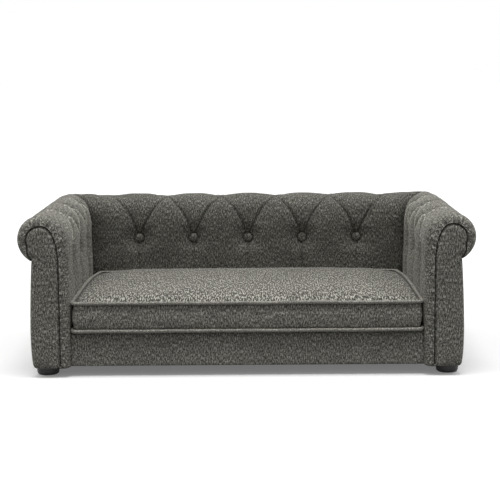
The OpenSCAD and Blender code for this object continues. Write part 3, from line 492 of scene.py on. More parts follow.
@dataclass(frozen=True)
class Chenille:
    """Heathered chenille, woven from cut-pile yarns, some of them spun with pale slubs.

    The pile gives soft, matt streaks along the warp and a pale bloom at glancing angles.
    The real yarns are about 1.2 mm wide. They are drawn about twice as coarse, to show in the render.
    """

    name: str = "heathered_chenille"
    gap: str = "#1b1b19"
    shade: str = "#464640"
    body: str = "#76756e"
    slub: str = "#cac8be"
    yarn_mm: float = 2.0
    slub_mm: float = 6.5
    relief_mm: float = 0.45
    spread: float = 0.16
    mottle: float = 0.0
    fleck_range: tuple[float, float] = (0.57, 0.68)
    fleck_share: float = 0.75
    hollow_range: tuple[float, float] = (0.45, 0.33)
    hollow_share: float = 0.8
    patch_mm: tuple[float, float] = (70.0, 110.0)
    patch_level: float = 0.1
    band_mm: tuple[float, float] = (17.0, 3.2)
    sheen: float = 0.32
    sheen_colour: str = "#cfccc2"
    sheen_roughness: float = 0.55
    roughness: float = 0.92
    specular: float = 0.18

    def _grain(
        self,
        tree: bpy.types.NodeTree,
        cloth: bpy.types.NodeSocket,
        size: tuple[float, float],
        shift: float,
        detail: float,
    ) -> bpy.types.NodeSocket:
        """Noise on the cloth's own coordinates.

        Args:
            tree: The material's tree.
            cloth: The cloth coordinates.
            size: Size of a grain across and along the warp, in millimetres.
            shift: Moves the pattern, so that no two of them match.
            detail: How many finer layers the noise has.

        Returns:
            The noise, about 0.5.
        """
        place = add_node(
            tree,
            "ShaderNodeMapping",
            inputs={
                "Vector": cloth,
                "Scale": (1 / (size[0] * MM), 1 / (size[1] * MM), 1.0),
                "Location": (shift, shift * 0.7, shift),
            },
        )
        noise = add_node(
            tree,
            "ShaderNodeTexNoise",
            inputs={"Vector": place.outputs[0], "Scale": 1.0, "Detail": detail, "Roughness": 0.55},
        )
        return noise.outputs["Fac"]

    def _yarns(
        self,
        tree: bpy.types.NodeTree,
        yarn: bpy.types.NodeSocket,
        fleck: bpy.types.NodeSocket,
        dark: bpy.types.NodeSocket,
    ) -> bpy.types.NodeSocket:
        """The colour of the yarns, with their pale flecks and the gaps between them.

        Args:
            tree: The material's tree.
            yarn: Noise of the size of a yarn.
            fleck: Finer noise, whose tops are pale fibres.
            dark: How deep each gap is, from 0 to 1.

        Returns:
            The colour.
        """
        tone = add_node(tree, "ShaderNodeValToRGB", inputs={"Fac": yarn})
        low, high = tone.color_ramp.elements
        low.position, low.color = 0.5 - self.spread, linear(self.shade)
        high.position, high.color = 0.5 + self.spread, linear(self.slub)
        middle = tone.color_ramp.elements.new(0.5 + self.spread / 8)
        middle.color = linear(self.body)
        start, full = self.fleck_range
        lit = add_node(
            tree,
            "ShaderNodeMapRange",
            inputs={"Value": fleck, "From Min": start, "From Max": full, "To Max": self.fleck_share},
        )
        pale = add_node(
            tree,
            "ShaderNodeMix",
            {"data_type": "RGBA"},
            {0: lit.outputs[0], 6: tone.outputs["Color"], 7: linear(self.slub)},
        )
        deep = add_node(
            tree,
            "ShaderNodeMix",
            {"data_type": "RGBA"},
            {0: dark, 6: pale.outputs[2], 7: linear(self.gap)},
        )
        return deep.outputs[2]

    def _level(self, tree: bpy.types.NodeTree, cloth: bpy.types.NodeSocket) -> bpy.types.NodeSocket:
        """How bright the cloth is, from broad patches, bands of lying pile and the painted light of its
        points.

        Args:
            tree: The material's tree.
            cloth: The cloth coordinates.

        Returns:
            The brightness, about 1.
        """
        patch = add_node(
            tree,
            "ShaderNodeMapRange",
            inputs={
                "Value": self._grain(tree, cloth, self.patch_mm, 11.0, 2.0),
                "From Min": 0.3,
                "From Max": 0.7,
                "To Min": 1 - self.patch_level,
                "To Max": 1 + self.patch_level,
            },
        )
        # Along an arm the pile lies in long, low bands, which show at a shallow angle
        band = add_node(
            tree,
            "ShaderNodeMapRange",
            inputs={
                "Value": self._grain(tree, cloth, self.band_mm, 53.0, 2.0),
                "From Min": 0.35,
                "From Max": 0.65,
                "To Min": 1 - self.mottle,
                "To Max": 1 + self.mottle,
            },
        )
        both = add_node(
            tree,
            "ShaderNodeMath",
            {"operation": "MULTIPLY"},
            {0: patch.outputs[0], 1: band.outputs[0]},
        )
        # Each point's painted highlight or painted shade scales the cloth's brightness
        bloom = {"attribute_name": PAINTED_LIGHT, "attribute_type": "GEOMETRY"}
        painted_shading = add_node(tree, "ShaderNodeAttribute", bloom)
        tint = add_node(
            tree,
            "ShaderNodeMath",
            {"operation": "MULTIPLY_ADD"},
            {0: painted_shading.outputs["Fac"], 1: both.outputs[0], 2: both.outputs[0]},
        )
        return tint.outputs[0]

    def make(self) -> bpy.types.Material:
        """Builds the material from the cloth's own coordinates."""
        material, tree = blank_material(self.name)
        cloth = add_node(tree, "ShaderNodeUVMap", {"uv_map": WEAVE}).outputs["UV"]
        yarn = self._grain(tree, cloth, (self.yarn_mm, self.slub_mm), 0.0, 2.0)
        fleck = self._grain(tree, cloth, (self.yarn_mm * 0.75, self.slub_mm * 0.45), 31.0, 1.0)
        hollow = self._grain(tree, cloth, (self.yarn_mm * 0.8, self.slub_mm * 0.6), 77.0, 1.0)
        start, full = self.hollow_range
        dark = add_node(
            tree,
            "ShaderNodeMapRange",
            inputs={"Value": hollow, "From Min": start, "From Max": full, "To Max": self.hollow_share},
        )
        final = add_node(
            tree,
            "ShaderNodeHueSaturation",
            inputs={
                "Value": self._level(tree, cloth),
                "Color": self._yarns(tree, yarn, fleck, dark.outputs[0]),
            },
        )
        height = add_node(tree, "ShaderNodeMath", {"operation": "SUBTRACT"}, {0: yarn, 1: dark.outputs[0]})
        bump = add_node(
            tree,
            "ShaderNodeBump",
            inputs={"Height": height.outputs[0], "Distance": self.relief_mm * MM, "Strength": 0.8},
        )
        skin = add_node(
            tree,
            "ShaderNodeBsdfPrincipled",
            inputs={
                "Base Color": final.outputs[0],
                "Roughness": self.roughness,
                "Specular IOR Level": self.specular,
                "Sheen Weight": self.sheen,
                "Sheen Roughness": self.sheen_roughness,
                "Sheen Tint": linear(self.sheen_colour),
                "Normal": bump.outputs[0],
            },
        )
        add_node(tree, "ShaderNodeOutputMaterial", inputs={"Surface": skin.outputs[0]})
        return material


@dataclass(frozen=True)
class Grained:
    """A solid material with grain, fibres or pores on Object coordinates.

    It serves planed softwood, plywood, hardboard, foam, nonwoven cloth and woven tape, whose
    look is one base colour, a second one in streaks or specks of a real size, and a matt surface.
    """

    name: str
    first: str
    second: str
    size_mm: tuple[float, float, float]
    roughness: float
    relief_mm: float
    detail: float = 3.0
    contrast: tuple[float, float] = (0.38, 0.62)

    def make(self) -> bpy.types.Material:
        """Builds the material."""
        material, tree = blank_material(self.name)
        place = add_node(
            tree,
            "ShaderNodeMapping",
            inputs={
                "Vector": add_node(tree, "ShaderNodeTexCoord").outputs["Object"],
                "Scale": tuple(1 / (size * MM) for size in self.size_mm),
            },
        )
        grain = add_node(
            tree,
            "ShaderNodeTexNoise",
            inputs={"Vector": place.outputs[0], "Scale": 1.0, "Detail": self.detail, "Distortion": 0.4},
        ).outputs["Fac"]
        low, high = self.contrast
        mask = add_node(
            tree,
            "ShaderNodeMapRange",
            inputs={"Value": grain, "From Min": low, "From Max": high},
        )
        colour = add_node(
            tree,
            "ShaderNodeMix",
            {"data_type": "RGBA"},
            {0: mask.outputs[0], 6: linear(self.first), 7: linear(self.second)},
        )
        bump = add_node(
            tree,
            "ShaderNodeBump",
            inputs={"Height": grain, "Distance": self.relief_mm * MM, "Strength": 0.6},
        )
        skin = add_node(
            tree,
            "ShaderNodeBsdfPrincipled",
            inputs={
                "Base Color": colour.outputs[2],
                "Roughness": self.roughness,
                "Specular IOR Level": 0.35,
                "Normal": bump.outputs[0],
            },
        )
        add_node(tree, "ShaderNodeOutputMaterial", inputs={"Surface": skin.outputs[0]})
        return material


@dataclass(frozen=True)
class ZincSteel:
    """Bright zinc plating on drawn steel: a bluish, slightly cloudy metal."""

    name: str = "zinc_plated_steel"
    colour: str = "#b9bcc0"
    cloud: str = "#9c9fa5"
    cloud_mm: float = 6.0
    roughness: tuple[float, float] = (0.28, 0.46)

    def make(self) -> bpy.types.Material:
        """Builds the material."""
        material, tree = blank_material(self.name)
        here = add_node(tree, "ShaderNodeTexCoord").outputs["Object"]
        cloud = add_node(
            tree,
            "ShaderNodeTexNoise",
            inputs={"Vector": here, "Scale": 1 / (self.cloud_mm * MM), "Detail": 4.0},
        ).outputs["Fac"]
        tint = add_node(
            tree,
            "ShaderNodeMix",
            {"data_type": "RGBA"},
            {0: cloud, 6: linear(self.colour), 7: linear(self.cloud)},
        )
        smooth, dull = self.roughness
        rough = add_node(
            tree,
            "ShaderNodeMapRange",
            inputs={"Value": cloud, "To Min": smooth, "To Max": dull},
        )
        skin = add_node(
            tree,
            "ShaderNodeBsdfPrincipled",
            inputs={"Base Color": tint.outputs[2], "Metallic": 1.0, "Roughness": rough.outputs[0]},
        )
        add_node(tree, "ShaderNodeOutputMaterial", inputs={"Surface": skin.outputs[0]})
        return material


@dataclass(frozen=True)
class MouldedPlastic:
    """Injection-moulded black polypropylene, with the fine spark texture of its mould."""

    name: str = "moulded_black_polypropylene"
    colour: str = "#1d1d1d"
    grit_mm: float = 0.8
    grit_deep_mm: float = 0.05
    scuff_mm: float = 14.0
    roughness: tuple[float, float] = (0.42, 0.62)

    def make(self) -> bpy.types.Material:
        """Builds the material."""
        material, tree = blank_material(self.name)
        here = add_node(tree, "ShaderNodeTexCoord").outputs["Object"]
        grit = add_node(
            tree,
            "ShaderNodeTexNoise",
            inputs={"Vector": here, "Scale": 1 / (self.grit_mm * MM), "Detail": 2.0},
        )
        scuff = add_node(
            tree,
            "ShaderNodeTexNoise",
            inputs={"Vector": here, "Scale": 1 / (self.scuff_mm * MM), "Detail": 5.0},
        )
        smooth, dull = self.roughness
        rough = add_node(
            tree,
            "ShaderNodeMapRange",
            inputs={"Value": scuff.outputs["Fac"], "To Min": smooth, "To Max": dull},
        )
        bump = add_node(
            tree,
            "ShaderNodeBump",
            inputs={
                "Height": grit.outputs["Fac"],
                "Distance": self.grit_deep_mm * MM,
                "Strength": 0.5,
            },
        )
        skin = add_node(
            tree,
            "ShaderNodeBsdfPrincipled",
            inputs={
                "Base Color": linear(self.colour),
                "Roughness": rough.outputs[0],
                "Normal": bump.outputs[0],
            },
        )
        add_node(tree, "ShaderNodeOutputMaterial", inputs={"Surface": skin.outputs[0]})
        return material


# The scroll section


class Side(Enum):
    """The three sides that share the scroll section."""

    LEFT = "left_arm"
    RIGHT = "right_arm"
    BACK = "back"


@dataclass(frozen=True)
class ScrollSection:
    """The section that the arms and the back share.

    Row v is 0 at the deck, 1 at the buttons, 2 where the roll starts and 3 at its neck.
    """

    roll_x: float = 405.0
    roll_y: float = 230.0
    roll_z: float = 274.5
    roll_r: float = 45.0
    face_in: float = 54.5
    shoulder_up: float = 63.0
    shoulder_along: float = 35.0
    lining_in: float = 34.0
    lining_r: float = 26.0
    lining_up: float = 30.0
    lining_along: float = 20.0
    facing_in: float = 36.5
    facing_r: float = 29.5
    facing_neck_r: float = 43.5
    facing_leave: float = -20.0
    cover_low: float = 89.3
    button_z: float = 225.0
    base_z: float = 20.0
    start: float = 112.0
    neck: float = -66.0
    neck_gap: float = 0.3
    mitre_gap: float = 0.2
    outer_u: float = 13.3
    outer_bulge: float = 6.5
    outer_draw: float = 1.0
    outer_lean: float = 1.9
    outer_full: float = 0.4

    @property
    def neck_u(self) -> float:
        """Place of the neck outside the scroll's axis."""
        return self.roll_r * math.cos(math.radians(self.neck))

    @property
    def neck_z(self) -> float:
        """Height of the neck."""
        return self.roll_z + self.roll_r * math.sin(math.radians(self.neck))

    def angle(self, v: Grid) -> Grid:
        """Angle on the roll at row v, in radians."""
        return np.radians(self.start + (v - 2) * (self.neck - self.start))

    def row_at(self, z: float) -> float:
        """The row of a height on the face, below 0 under the deck."""
        return (z - self.cover_low) / (self.button_z - self.cover_low)

    def _curve(self, v: Grid, inset: float, radius: Grid | float, up: float, along: float) -> Grid:
        """The face, the shoulder and the roll as one path.

        Args:
            v: Rows of the section.
            inset: How far the face stands in from the scroll's axis.
            radius: Radius of the roll, for all rows or for each.
            up: How far the path leaves the face straight up, above the buttons.
            along: How far it runs straight before the roll.

        Returns:
            Points in (u, z).
        """
        a0 = math.radians(self.start)
        radius = np.asarray(radius, float) * np.ones_like(v)
        first = float(radius.flat[0])
        start = np.array([first * math.cos(a0), self.roll_z + first * math.sin(a0)])
        way = np.array([math.sin(a0), -math.cos(a0)])
        low, high = np.array([-inset, self.button_z]), np.array([-inset, self.button_z + up])
        t = np.clip(v - 1, 0, 1)[..., None]
        shoulder = (
            (1 - t) ** 3 * low
            + 3 * (1 - t) ** 2 * t * high
            + 3 * (1 - t) * t * t * (start - along * way)
            + t**3 * start
        )
        height = self.cover_low + v * (self.button_z - self.cover_low)
        face = np.stack([np.full_like(v, -inset), height], -1)
        a = self.angle(v)
        roll = np.stack([radius * np.cos(a), self.roll_z + radius * np.sin(a)], -1)
        v3 = v[..., None]
        return np.where(v3 <= 1, face, np.where(v3 < 2, shoulder, roll))

    def crest(self, v: Grid) -> Grid:
        """The outermost line of the cover, in (u, z)."""
        return self._curve(v, self.face_in, self.roll_r, self.shoulder_up, self.shoulder_along)

    def lining(self, v: Grid) -> Grid:
        """The line behind the wadding."""
        return self._curve(v, self.lining_in, self.lining_r, self.lining_up, self.lining_along)

    def facing_edge(self, v: Grid, inset: float = 0.0) -> Grid:
        """The seam round the keyhole facing, drawn in by an inset."""
        turned = self.facing_leave - np.degrees(self.angle(v))
        share = smooth_step(turned / (self.facing_leave - self.neck))
        head = self.facing_r + (self.facing_neck_r - self.facing_r) * share - inset
        head = np.where(v < 2, self.facing_r - inset, head)
        return self._curve(v, self.facing_in - inset, head, self.lining_up, self.lining_along)

    def inward(self, v: Grid) -> Grid:
        """The direction from the crest into the padding."""
        step = 1e-3
        way = self.crest(v + step) - self.crest(v - step)
        way /= np.linalg.norm(way, axis=-1, keepdims=True)
        return np.stack([way[..., 1], -way[..., 0]], -1)

    def rows(self, step: float) -> Grid:
        """Rows that are about a step apart along the crest, from the deck to the neck."""
        fine = np.linspace(0, 3, 1200)
        run = run_along(self.crest(fine))
        count = int(round(run[-1] / step))
        return np.interp(np.linspace(0, run[-1], count + 1), run, fine)

    def run_of(self, v: Grid) -> Grid:
        """The length along the crest from the deck to row v."""
        fine = np.linspace(-1, 3, 2400)
        run = run_along(self.crest(fine))
        return np.interp(v, fine, run) - np.interp(0.0, fine, run)

    def outer_side(self, q: Grid, inset: float) -> Grid:
        """The outside of an arm, q from 0 at the neck down to 1 at the base."""
        swell = np.clip(np.sin(np.pi * np.clip(q, 0, 1) ** self.outer_lean), 0, 1) ** self.outer_full
        u = self.neck_u - inset - self.outer_draw * q + self.outer_bulge * swell
        top = self.neck_z - self.neck_gap
        return np.stack([u, top - q * (top - self.base_z)], -1)

    def place(self, side: Side, s: Grid, uz: Grid) -> Grid:
        """Turns (s, u, z) into the sofa's own frame.

        Args:
            side: Which arm, or the back.
            s: Places along the run.
            uz: Places out from the axis and heights.

        Returns:
            Points in millimetres.
        """
        u, z = uz[..., 0], uz[..., 1]
        s = s * np.ones_like(u)
        if side is Side.BACK:
            return np.stack([s, self.roll_y + u, z], -1)
        x = self.roll_x + u
        return np.stack([-x if side is Side.LEFT else x, s, z], -1)


@dataclass(frozen=True)
class Tufting:
    """Buttons, and the pleats that run from them, over one side of the sofa.

    A pleat is a thin crease where the cloth is folded, in a broad hollow between two pillows.
    The crease and the hollow hold (row, depth) pairs. Lengths are in millimetres. Fields set how strong
    the painted highlight on the lip beside a crease is, and the painted shade in the crease, along the mitre
    seam and round each button. The mitre is the seam between an arm and the back, and the dimple is the
    hollow that a button sits in.
    """

    section: ScrollSection
    buttons: tuple[float, ...]
    dips: tuple[float, ...]
    seed: int
    crease: tuple[tuple[float, float], ...]
    hollow: tuple[tuple[float, float], ...]
    slope_before: float = 1.8
    slope_after: float = 1.8
    lip_at: float = 5.0
    lip_wide: float = 3.0
    lip: float = 0.5
    bloom: float = 0.15
    dark: float = 0.5
    seam_dark: float = 0.55
    button_dark: float = 0.3
    face_lip: float = 0.0
    sag: float = 0.0
    sag_from: float = 60.0
    wander: float = 1.6
    wander_size: float = 75.0
    pleat_reach: float = 74.0
    pleat_rise: float = 105.0
    pillow: float = 38.0
    roll_pillow: float = 52.0
    puff: float = 1.2
    mitre: float = 4.0
    mitre_wide: float = 32.0
    mitre_pull: float = 5.5
    mitre_pull_tall: float = 42.0
    seam_deep: float = 3.5
    seam_wide: float = 3.5
    corner_deep: float = 13.0
    corner_wide: float = 62.0
    dimple: float = 13.0
    dimple_wide: float = 38.0
    dimple_floor: float = 12.0
    ring_r: float = 12.6
    ring_wide: float = 2.4
    ring_share: float = 0.32
    gather: float = 0.5
    tuck: float = 1.8
    tuck_up: float = 18.0
    unevenness: float = 0.5
    unevenness_size: float = 46.0
    proudest: float = 3.2
    deepest: float = 14.4

    def _fold(self, x: Grid) -> Grid:
        """The thin crease, with a slope of its own on each side of the fold."""
        return np.exp(-np.where(x < 0, -x / self.slope_before, x / self.slope_after))

    def _broader(self, v: Grid) -> Grid:
        """How much broader a lip is than on the roll, below the shoulder."""
        return 1 + self.face_lip * smooth_step((2.0 - v) / 0.6)

    def _lip(self, x: Grid, v: Grid) -> Grid:
        """The edge of cloth that stands proud beside the crease."""
        return np.exp(-(((x + self.lip_at) / (self.lip_wide * self._broader(v))) ** 2))

    def _valley(self, x: Grid, v: Grid) -> Grid:
        """The broad hollow, rounder over the roll than on the face."""
        share = smooth_step((v - 1.5) / 0.7)
        wide = self.pillow + (self.roll_pillow - self.pillow) * share
        t = np.clip(np.abs(x) / wide, 0, 1)
        return (1 - share) * (1 - t) ** 2 + share * (0.5 + 0.5 * np.cos(np.pi * t))

    def _pleats(self, along: Grid, v: Grid) -> tuple[Grid, Grid, Grid]:
        """Draws the pleats down from each button, across to the dips and over the roll.

        Args:
            along: Places along the run, which wander as the pleats do.
            v: Rows of the section.

        Returns:
            The creases, the lips beside them and the hollows round them, each from 0 to 1.
        """
        lines = [(along - button, v <= 1) for button in self.buttons]
        lines += [(along - dip, v >= 2) for dip in self.dips]
        for button in self.buttons:
            for dip in self.dips:
                aside = dip - button
                if abs(aside) < self.pleat_reach:
                    lean = math.cos(math.atan2(abs(aside), self.pleat_rise))
                    away = (along - button - aside * np.clip(v - 1, 0, 1)) * lean
                    lines.append((away, (v > 1) & (v < 2)))
        fold, lip, valley = np.zeros_like(along), np.zeros_like(along), np.zeros_like(along)
        for away, shown in lines:
            fold = np.maximum(fold, self._fold(away) * shown)
            lip = np.maximum(lip, self._lip(away, v) * shown)
            valley = np.maximum(valley, self._valley(away, v) * shown)
        return fold, lip, valley

    def _drawn_in(self, to_corner: Grid, v: Grid, climb: Grid, over: Grid) -> Grid:
        """How deep the cover is drawn in beside the mitre seam.

        Args:
            to_corner: Distances from the mitre.
            v: Rows of the section.
            climb: Heights above the buttons, along the crest.
            over: 0 on the face and 1 on the roll.

        Returns:
            Depths in millimetres.
        """
        pulled = np.exp(-((climb / self.mitre_pull_tall) ** 2))
        depth = np.exp(-to_corner / self.seam_wide) * self.seam_deep * (1 - 0.4 * over)
        near = np.clip(1 - to_corner / self.mitre_wide, 0, 1) ** 1.6
        depth += near * (self.mitre * (1 - over) + self.mitre_pull * pulled)
        # The roll's outer corner is soft in plan, and comes back to the seam at its neck
        round_roll = smooth_step((v - 2.1) / 0.4) * smooth_step((3 - v) / 0.22)
        depth += self.corner_deep * np.clip(1 - to_corner / self.corner_wide, 0, 1) ** 1.8 * round_roll
        return depth

    def _gathers(self, s: Grid, climb: Grid) -> Grid:
        """The small folds that spread from each button, and the tuck above it.

        Args:
            s: Places along the run.
            climb: Heights above the buttons, along the crest.

        Returns:
            Depths in millimetres.
        """
        depth = np.zeros_like(climb)
        for k, button in enumerate(self.buttons):
            away = np.hypot(s - button, climb)
            turn = np.arctan2(climb, s - button)
            rays = np.cos(7 * turn + k) + 0.6 * np.cos(11 * turn - 2 * k)
            outside = smooth_step((away - self.dimple_floor) / 8)
            depth = depth + self.gather * rays * np.exp(-away / 15) * outside
            above = np.exp(-(((s - button) / 10) ** 2) - ((climb - self.tuck_up) / 12) ** 2)
            depth = depth + self.tuck * above
        return depth

    def sink(self, s: Grid, v: Grid, to_corner: Grid) -> tuple[Grid, Grid, Grid]:
        """How deep the cover lies below its crest line.

        Args:
            s: Places along the run.
            v: Rows of the section.
            to_corner: Distances from the mitre.

        Returns:
            Depths in millimetres, how firmly stitches hold the cloth, from 0 to 1, and its painted light.
        """
        length = self.section.run_of(v)
        climb = length - self.section.run_of(np.array([1.0]))[0]
        drift = waves(length, s * 0, self.wander_size, self.seed) * smooth_step(np.abs(climb) / 30)
        fold, lip, valley = self._pleats(s + self.wander * drift, v)
        crease = np.interp(v, *zip(*self.crease))
        hollow = np.interp(v, *zip(*self.hollow))
        over = smooth_step((v - 1.8) / 0.5)
        drawn = self._drawn_in(to_corner, v, climb, over)
        share = crease / max(depth for _, depth in self.crease)
        # Painted highlight on the lip beside each crease, and painted shade in the crease and along the mitre
        # seam
        bloom = (self.bloom * lip * self._broader(v) - self.dark * fold) * share
        bloom = bloom - self.seam_dark * np.exp(-to_corner / self.seam_wide)
        depth = fold * crease + valley * hollow - lip * self.lip * share
        full = (1 - valley) * np.clip(1 - drawn / 6, 0, 1) * np.clip(v * 2, 0, 1) * (1 - 0.9 * over)
        depth = np.maximum(depth, drawn) - self.puff * full
        r = np.min([np.hypot(s - button, climb) for button in self.buttons], 0)
        ring = np.clip((self.ring_r - r) / self.ring_wide, 0, 1)
        bowl = np.clip((self.dimple_wide - r) / (self.dimple_wide - self.dimple_floor), 0, 1) ** 1.5
        hole = self.dimple * ((1 - self.ring_share) * bowl + self.ring_share * ring)
        depth = (np.clip(depth, 0, None) ** 3 + hole**3) ** (1 / 3) + np.clip(depth, None, 0)
        depth = depth + self._gathers(s, climb)
        depth = depth + self.unevenness * waves(s, length, self.unevenness_size, self.seed, 1.6)
        sag = self.sag * over * smooth_step((3 - v) / 0.45)
        depth = depth + sag * np.clip(to_corner / self.sag_from, 0, 1)
        # The cover's lower edge is stitched down along the neck
        depth = depth * smooth_step((3 - v) / 0.14)
        held = np.clip(1.4 * fold + np.clip((20 - r) / 6, 0, 1) + np.clip(1 - to_corner / 12, 0, 1), 0, 1)
        # Painted shade in the ring round each button
        bloom = bloom * (1 - ring) - self.button_dark * ring
        return np.clip(depth, -self.proudest, self.deepest), held, bloom


def tufted_skin(tufting: Tufting, s: Grid, v: Grid, to_corner: Grid) -> tuple[Grid, Grid, Grid]:
    """The cover's surface.

    Args:
        tufting: The side's buttons and pleats.
        s: Places along the run.
        v: Rows.
        to_corner: Distances from the mitre.

    Returns:
        Points in (u, z), how firmly each is held, and the painted light on it.
    """
    depth, held, bloom = tufting.sink(s, v, to_corner)
    section = tufting.section
    return section.crest(v) + depth[..., None] * section.inward(v), held, bloom


# Sub-assemblies


@dataclass
class Upholstery:
    """What every cloth piece of the sofa needs: the section, the finish and where it rides."""

    section: ScrollSection
    cloth: bpy.types.Material
    body: str = "sofa"
    slot: str = "cover_cloth"

    def settle(self, piece: bpy.types.Object, *nodes: str, fill: float | None = 0.9) -> bpy.types.Object:
        """Rides and replaces one padded piece.

        Args:
            piece: The finished piece.
            nodes: The CAD nodes that it stands for.
            fill: Not used.

        Returns:
            The same piece.
        """
        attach(piece, self.body)
        if nodes:
            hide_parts(*nodes)
        log.info("%s: %d faces", piece.name, len(piece.data.polygons))
        return piece


@dataclass(frozen=True)
class Tuck:
    """A small fold in the band round the facing: its place on the roll in degrees, width and depth."""

    angle: float
    wide: float
    deep: float


@dataclass
class TuftedArm(Upholstery):
    """One arm: tufted cover, keyhole facing and plain outer cover."""

    side: Side = Side.LEFT
    front_y: float = -275.0
    edge_y: float = -255.0
    edge_d: float = 17.0
    lip_y: float = -262.0
    hang: float = 2.5
    buttons: tuple[float, ...] = (-175.0, -52.0, 71.0, 164.75)
    dips: tuple[float, ...] = (-113.5, 9.5, 132.5)
    roll_cloth: bpy.types.Material | None = None
    crease: tuple[tuple[float, float], ...] = (
        (0, 4.5),
        (0.5, 5.6),
        (1, 6.5),
        (1.7, 6.5),
        (2.1, 5.6),
        (2.6, 4.0),
        (3, 1.0),
    )
    hollow: tuple[tuple[float, float], ...] = (
        (0, 2.0),
        (0.5, 3.0),
        (1, 3.4),
        (1.8, 2.6),
        (2.2, 1.2),
        (3, 0.2),
    )
    step: float = 2.3
    skirt_rows: int = 26
    band_steps: int = 15
    band_out: float = 0.78
    band_curl: float = 0.72
    corner_steps: int = 21
    tucks: tuple[Tuck, ...] = (
        Tuck(133.0, 3.0, 3.0),
        Tuck(104.0, 2.0, 1.6),
        Tuck(84.0, 3.0, 2.6),
        Tuck(58.0, 3.0, 3.2),
        Tuck(31.0, 2.0, 1.6),
        Tuck(2.0, 3.0, 2.2),
    )
    face_tuck_down: float = 3.0
    face_tuck_wide: float = 1.8
    face_tuck: float = 3.0
    tucked_from: float = 1.7
    hem_r: float = 5.0
    ridge_at: float = 6.0
    ridge_wide: float = 4.5
    ridge: float = 2.0
    facing_gap: float = 1.9
    facing_rim: float = 0.4
    facing_rungs: int = 150
    facing_inner_r: float = 9.0
    facing_outer_r: float = 4.0
    facing_edge_r: float = 7.0
    facing_crown: float = 1.9
    facing_crown_wide: float = 24.0
    facing_unevenness: float = 0.35
    outer_lap: float = 3.5
    outer_turn: float = 4.0
    outer_turn_in: float = 1.6
    outer_end: float = 25.0
    outer_unevenness: float = 0.35

    @property
    def hem_row(self) -> float:
        """The row of the cover's lower edge."""
        return self.section.row_at(self.section.base_z - self.hang)

    def _tufting(self) -> Tufting:
        """The arm's buttons, with pleats folded toward the front."""
        return Tufting(
            self.section,
            self.buttons,
            self.dips,
            3 if self.side is Side.LEFT else 4,
            self.crease,
            self.hollow,
            slope_before=2.4,
            slope_after=13.0,
            lip_at=7.5,
            lip_wide=5.5,
            lip=2.8,
            # A strong painted highlight on each lip and strong painted shade in each crease
            bloom=0.75,
            dark=0.85,
            face_lip=0.6,
            roll_pillow=34.0,
            puff=1.4,
        )

    def _tucked(self, v: Grid, height: Grid, curl: Grid) -> Grid:
        """How deep the cloth is tucked where it turns over the arm's front.

        Args:
            v: Rows of the section.
            height: Heights of the crest at those rows.
            curl: How far each column has turned toward the facing, from 0 to 1.

        Returns:
            Depths in millimetres, by row and column.
        """
        v, height = v[:, None], height[:, None]
        angle = np.degrees(self.section.angle(v))
        tucked = np.zeros_like(v)
        for tuck in self.tucks:
            fold = np.exp(-(((angle - tuck.angle) / tuck.wide) ** 2))
            tucked += tuck.deep * fold * (v >= self.tucked_from)
        short = smooth_step((curl - 0.3) / 0.2)
        below = height - self.section.roll_z + self.face_tuck_down
        fold = np.exp(-((below / self.face_tuck_wide) ** 2))
        return tucked + self.face_tuck * fold * (v < self.tucked_from) * short

    def cover(self) -> bpy.types.Object:
        """The tufted cover, with the padded band round the facing."""
        sec = self.section
        v = np.concatenate([np.linspace(self.hem_row, 0, self.skirt_rows + 1)[:-1], sec.rows(self.step)])
        last = self.dips[-1]
        face = spread(self.edge_y, last, self.step)
        corner = np.linspace(0, 1, self.corner_steps + 1)[1:]
        turns = np.radians(np.concatenate([[90], np.linspace(90, 0, self.band_steps)]))
        band = len(turns)
        split = band - 1 + len(face)
        count = split + len(corner)
        vv = np.repeat(v[:, None], count, 1)
        crest = sec.crest(v)
        run = sec.roll_y + crest[:, 0] - last
        s = np.zeros((len(v), count))
        s[:, :band] = self.edge_y - self.edge_d * np.sin(turns) ** self.band_out
        s[:, 0] = self.lip_y
        s[:, band - 1 : split] = face
        s[:, split:] = last + corner * run[:, None]
        away = np.full((len(v), count), FAR)
        away[:, split:] = (1 - corner) * run[:, None]
        uz, held, bloom = tufted_skin(self._tufting(), np.clip(s, self.edge_y, None), vv, away)
        # The corner's last columns follow the mitre, as deep as the cloth lies there
        s[:, split:] += corner**8 * (uz[:, split:, 0] - crest[:, None, 0] - sec.mitre_gap)
        # The padded band curls from the crest to the seam round the facing
        curl = np.zeros(count)
        curl[:band] = 1 - np.clip(np.cos(turns), 0, 1) ** self.band_curl
        curl[0] = 1
        uz = uz + curl[None, :, None] * (sec.facing_edge(v)[:, None, :] - uz)
        middle = np.zeros(count)
        middle[1:band] = np.sin(np.pi * np.linspace(1, 0, band - 1)) ** 0.7
        tucked = self._tucked(v, crest[:, 1], curl) * middle
        s = s + tucked * 1.2
        uz = uz + (tucked * 0.7)[..., None] * sec.inward(vv)
        # The hem below the deck is rounded off
        drop = np.clip((sec.base_z - self.hang + self.hem_r - uz[..., 1]) / self.hem_r, 0, 1)
        round_off = self.hem_r * (1 - np.sqrt(1 - drop**2))
        uz[..., 0] = uz[..., 0] + round_off
        s = np.where(s < self.edge_y, np.minimum(s + round_off, self.edge_y), s)
        back_s = s.copy()
        back_s[:, :band] = np.linspace(self.lip_y, self.edge_y, band)
        back = np.repeat(sec.lining(v)[:, None, :], count, 1)
        back_s[:, split:] = last + corner * (sec.roll_y + back[:, :1, 0] - sec.mitre_gap - last)
        back[..., 1] = np.maximum(back[..., 1], uz[..., 1].min())
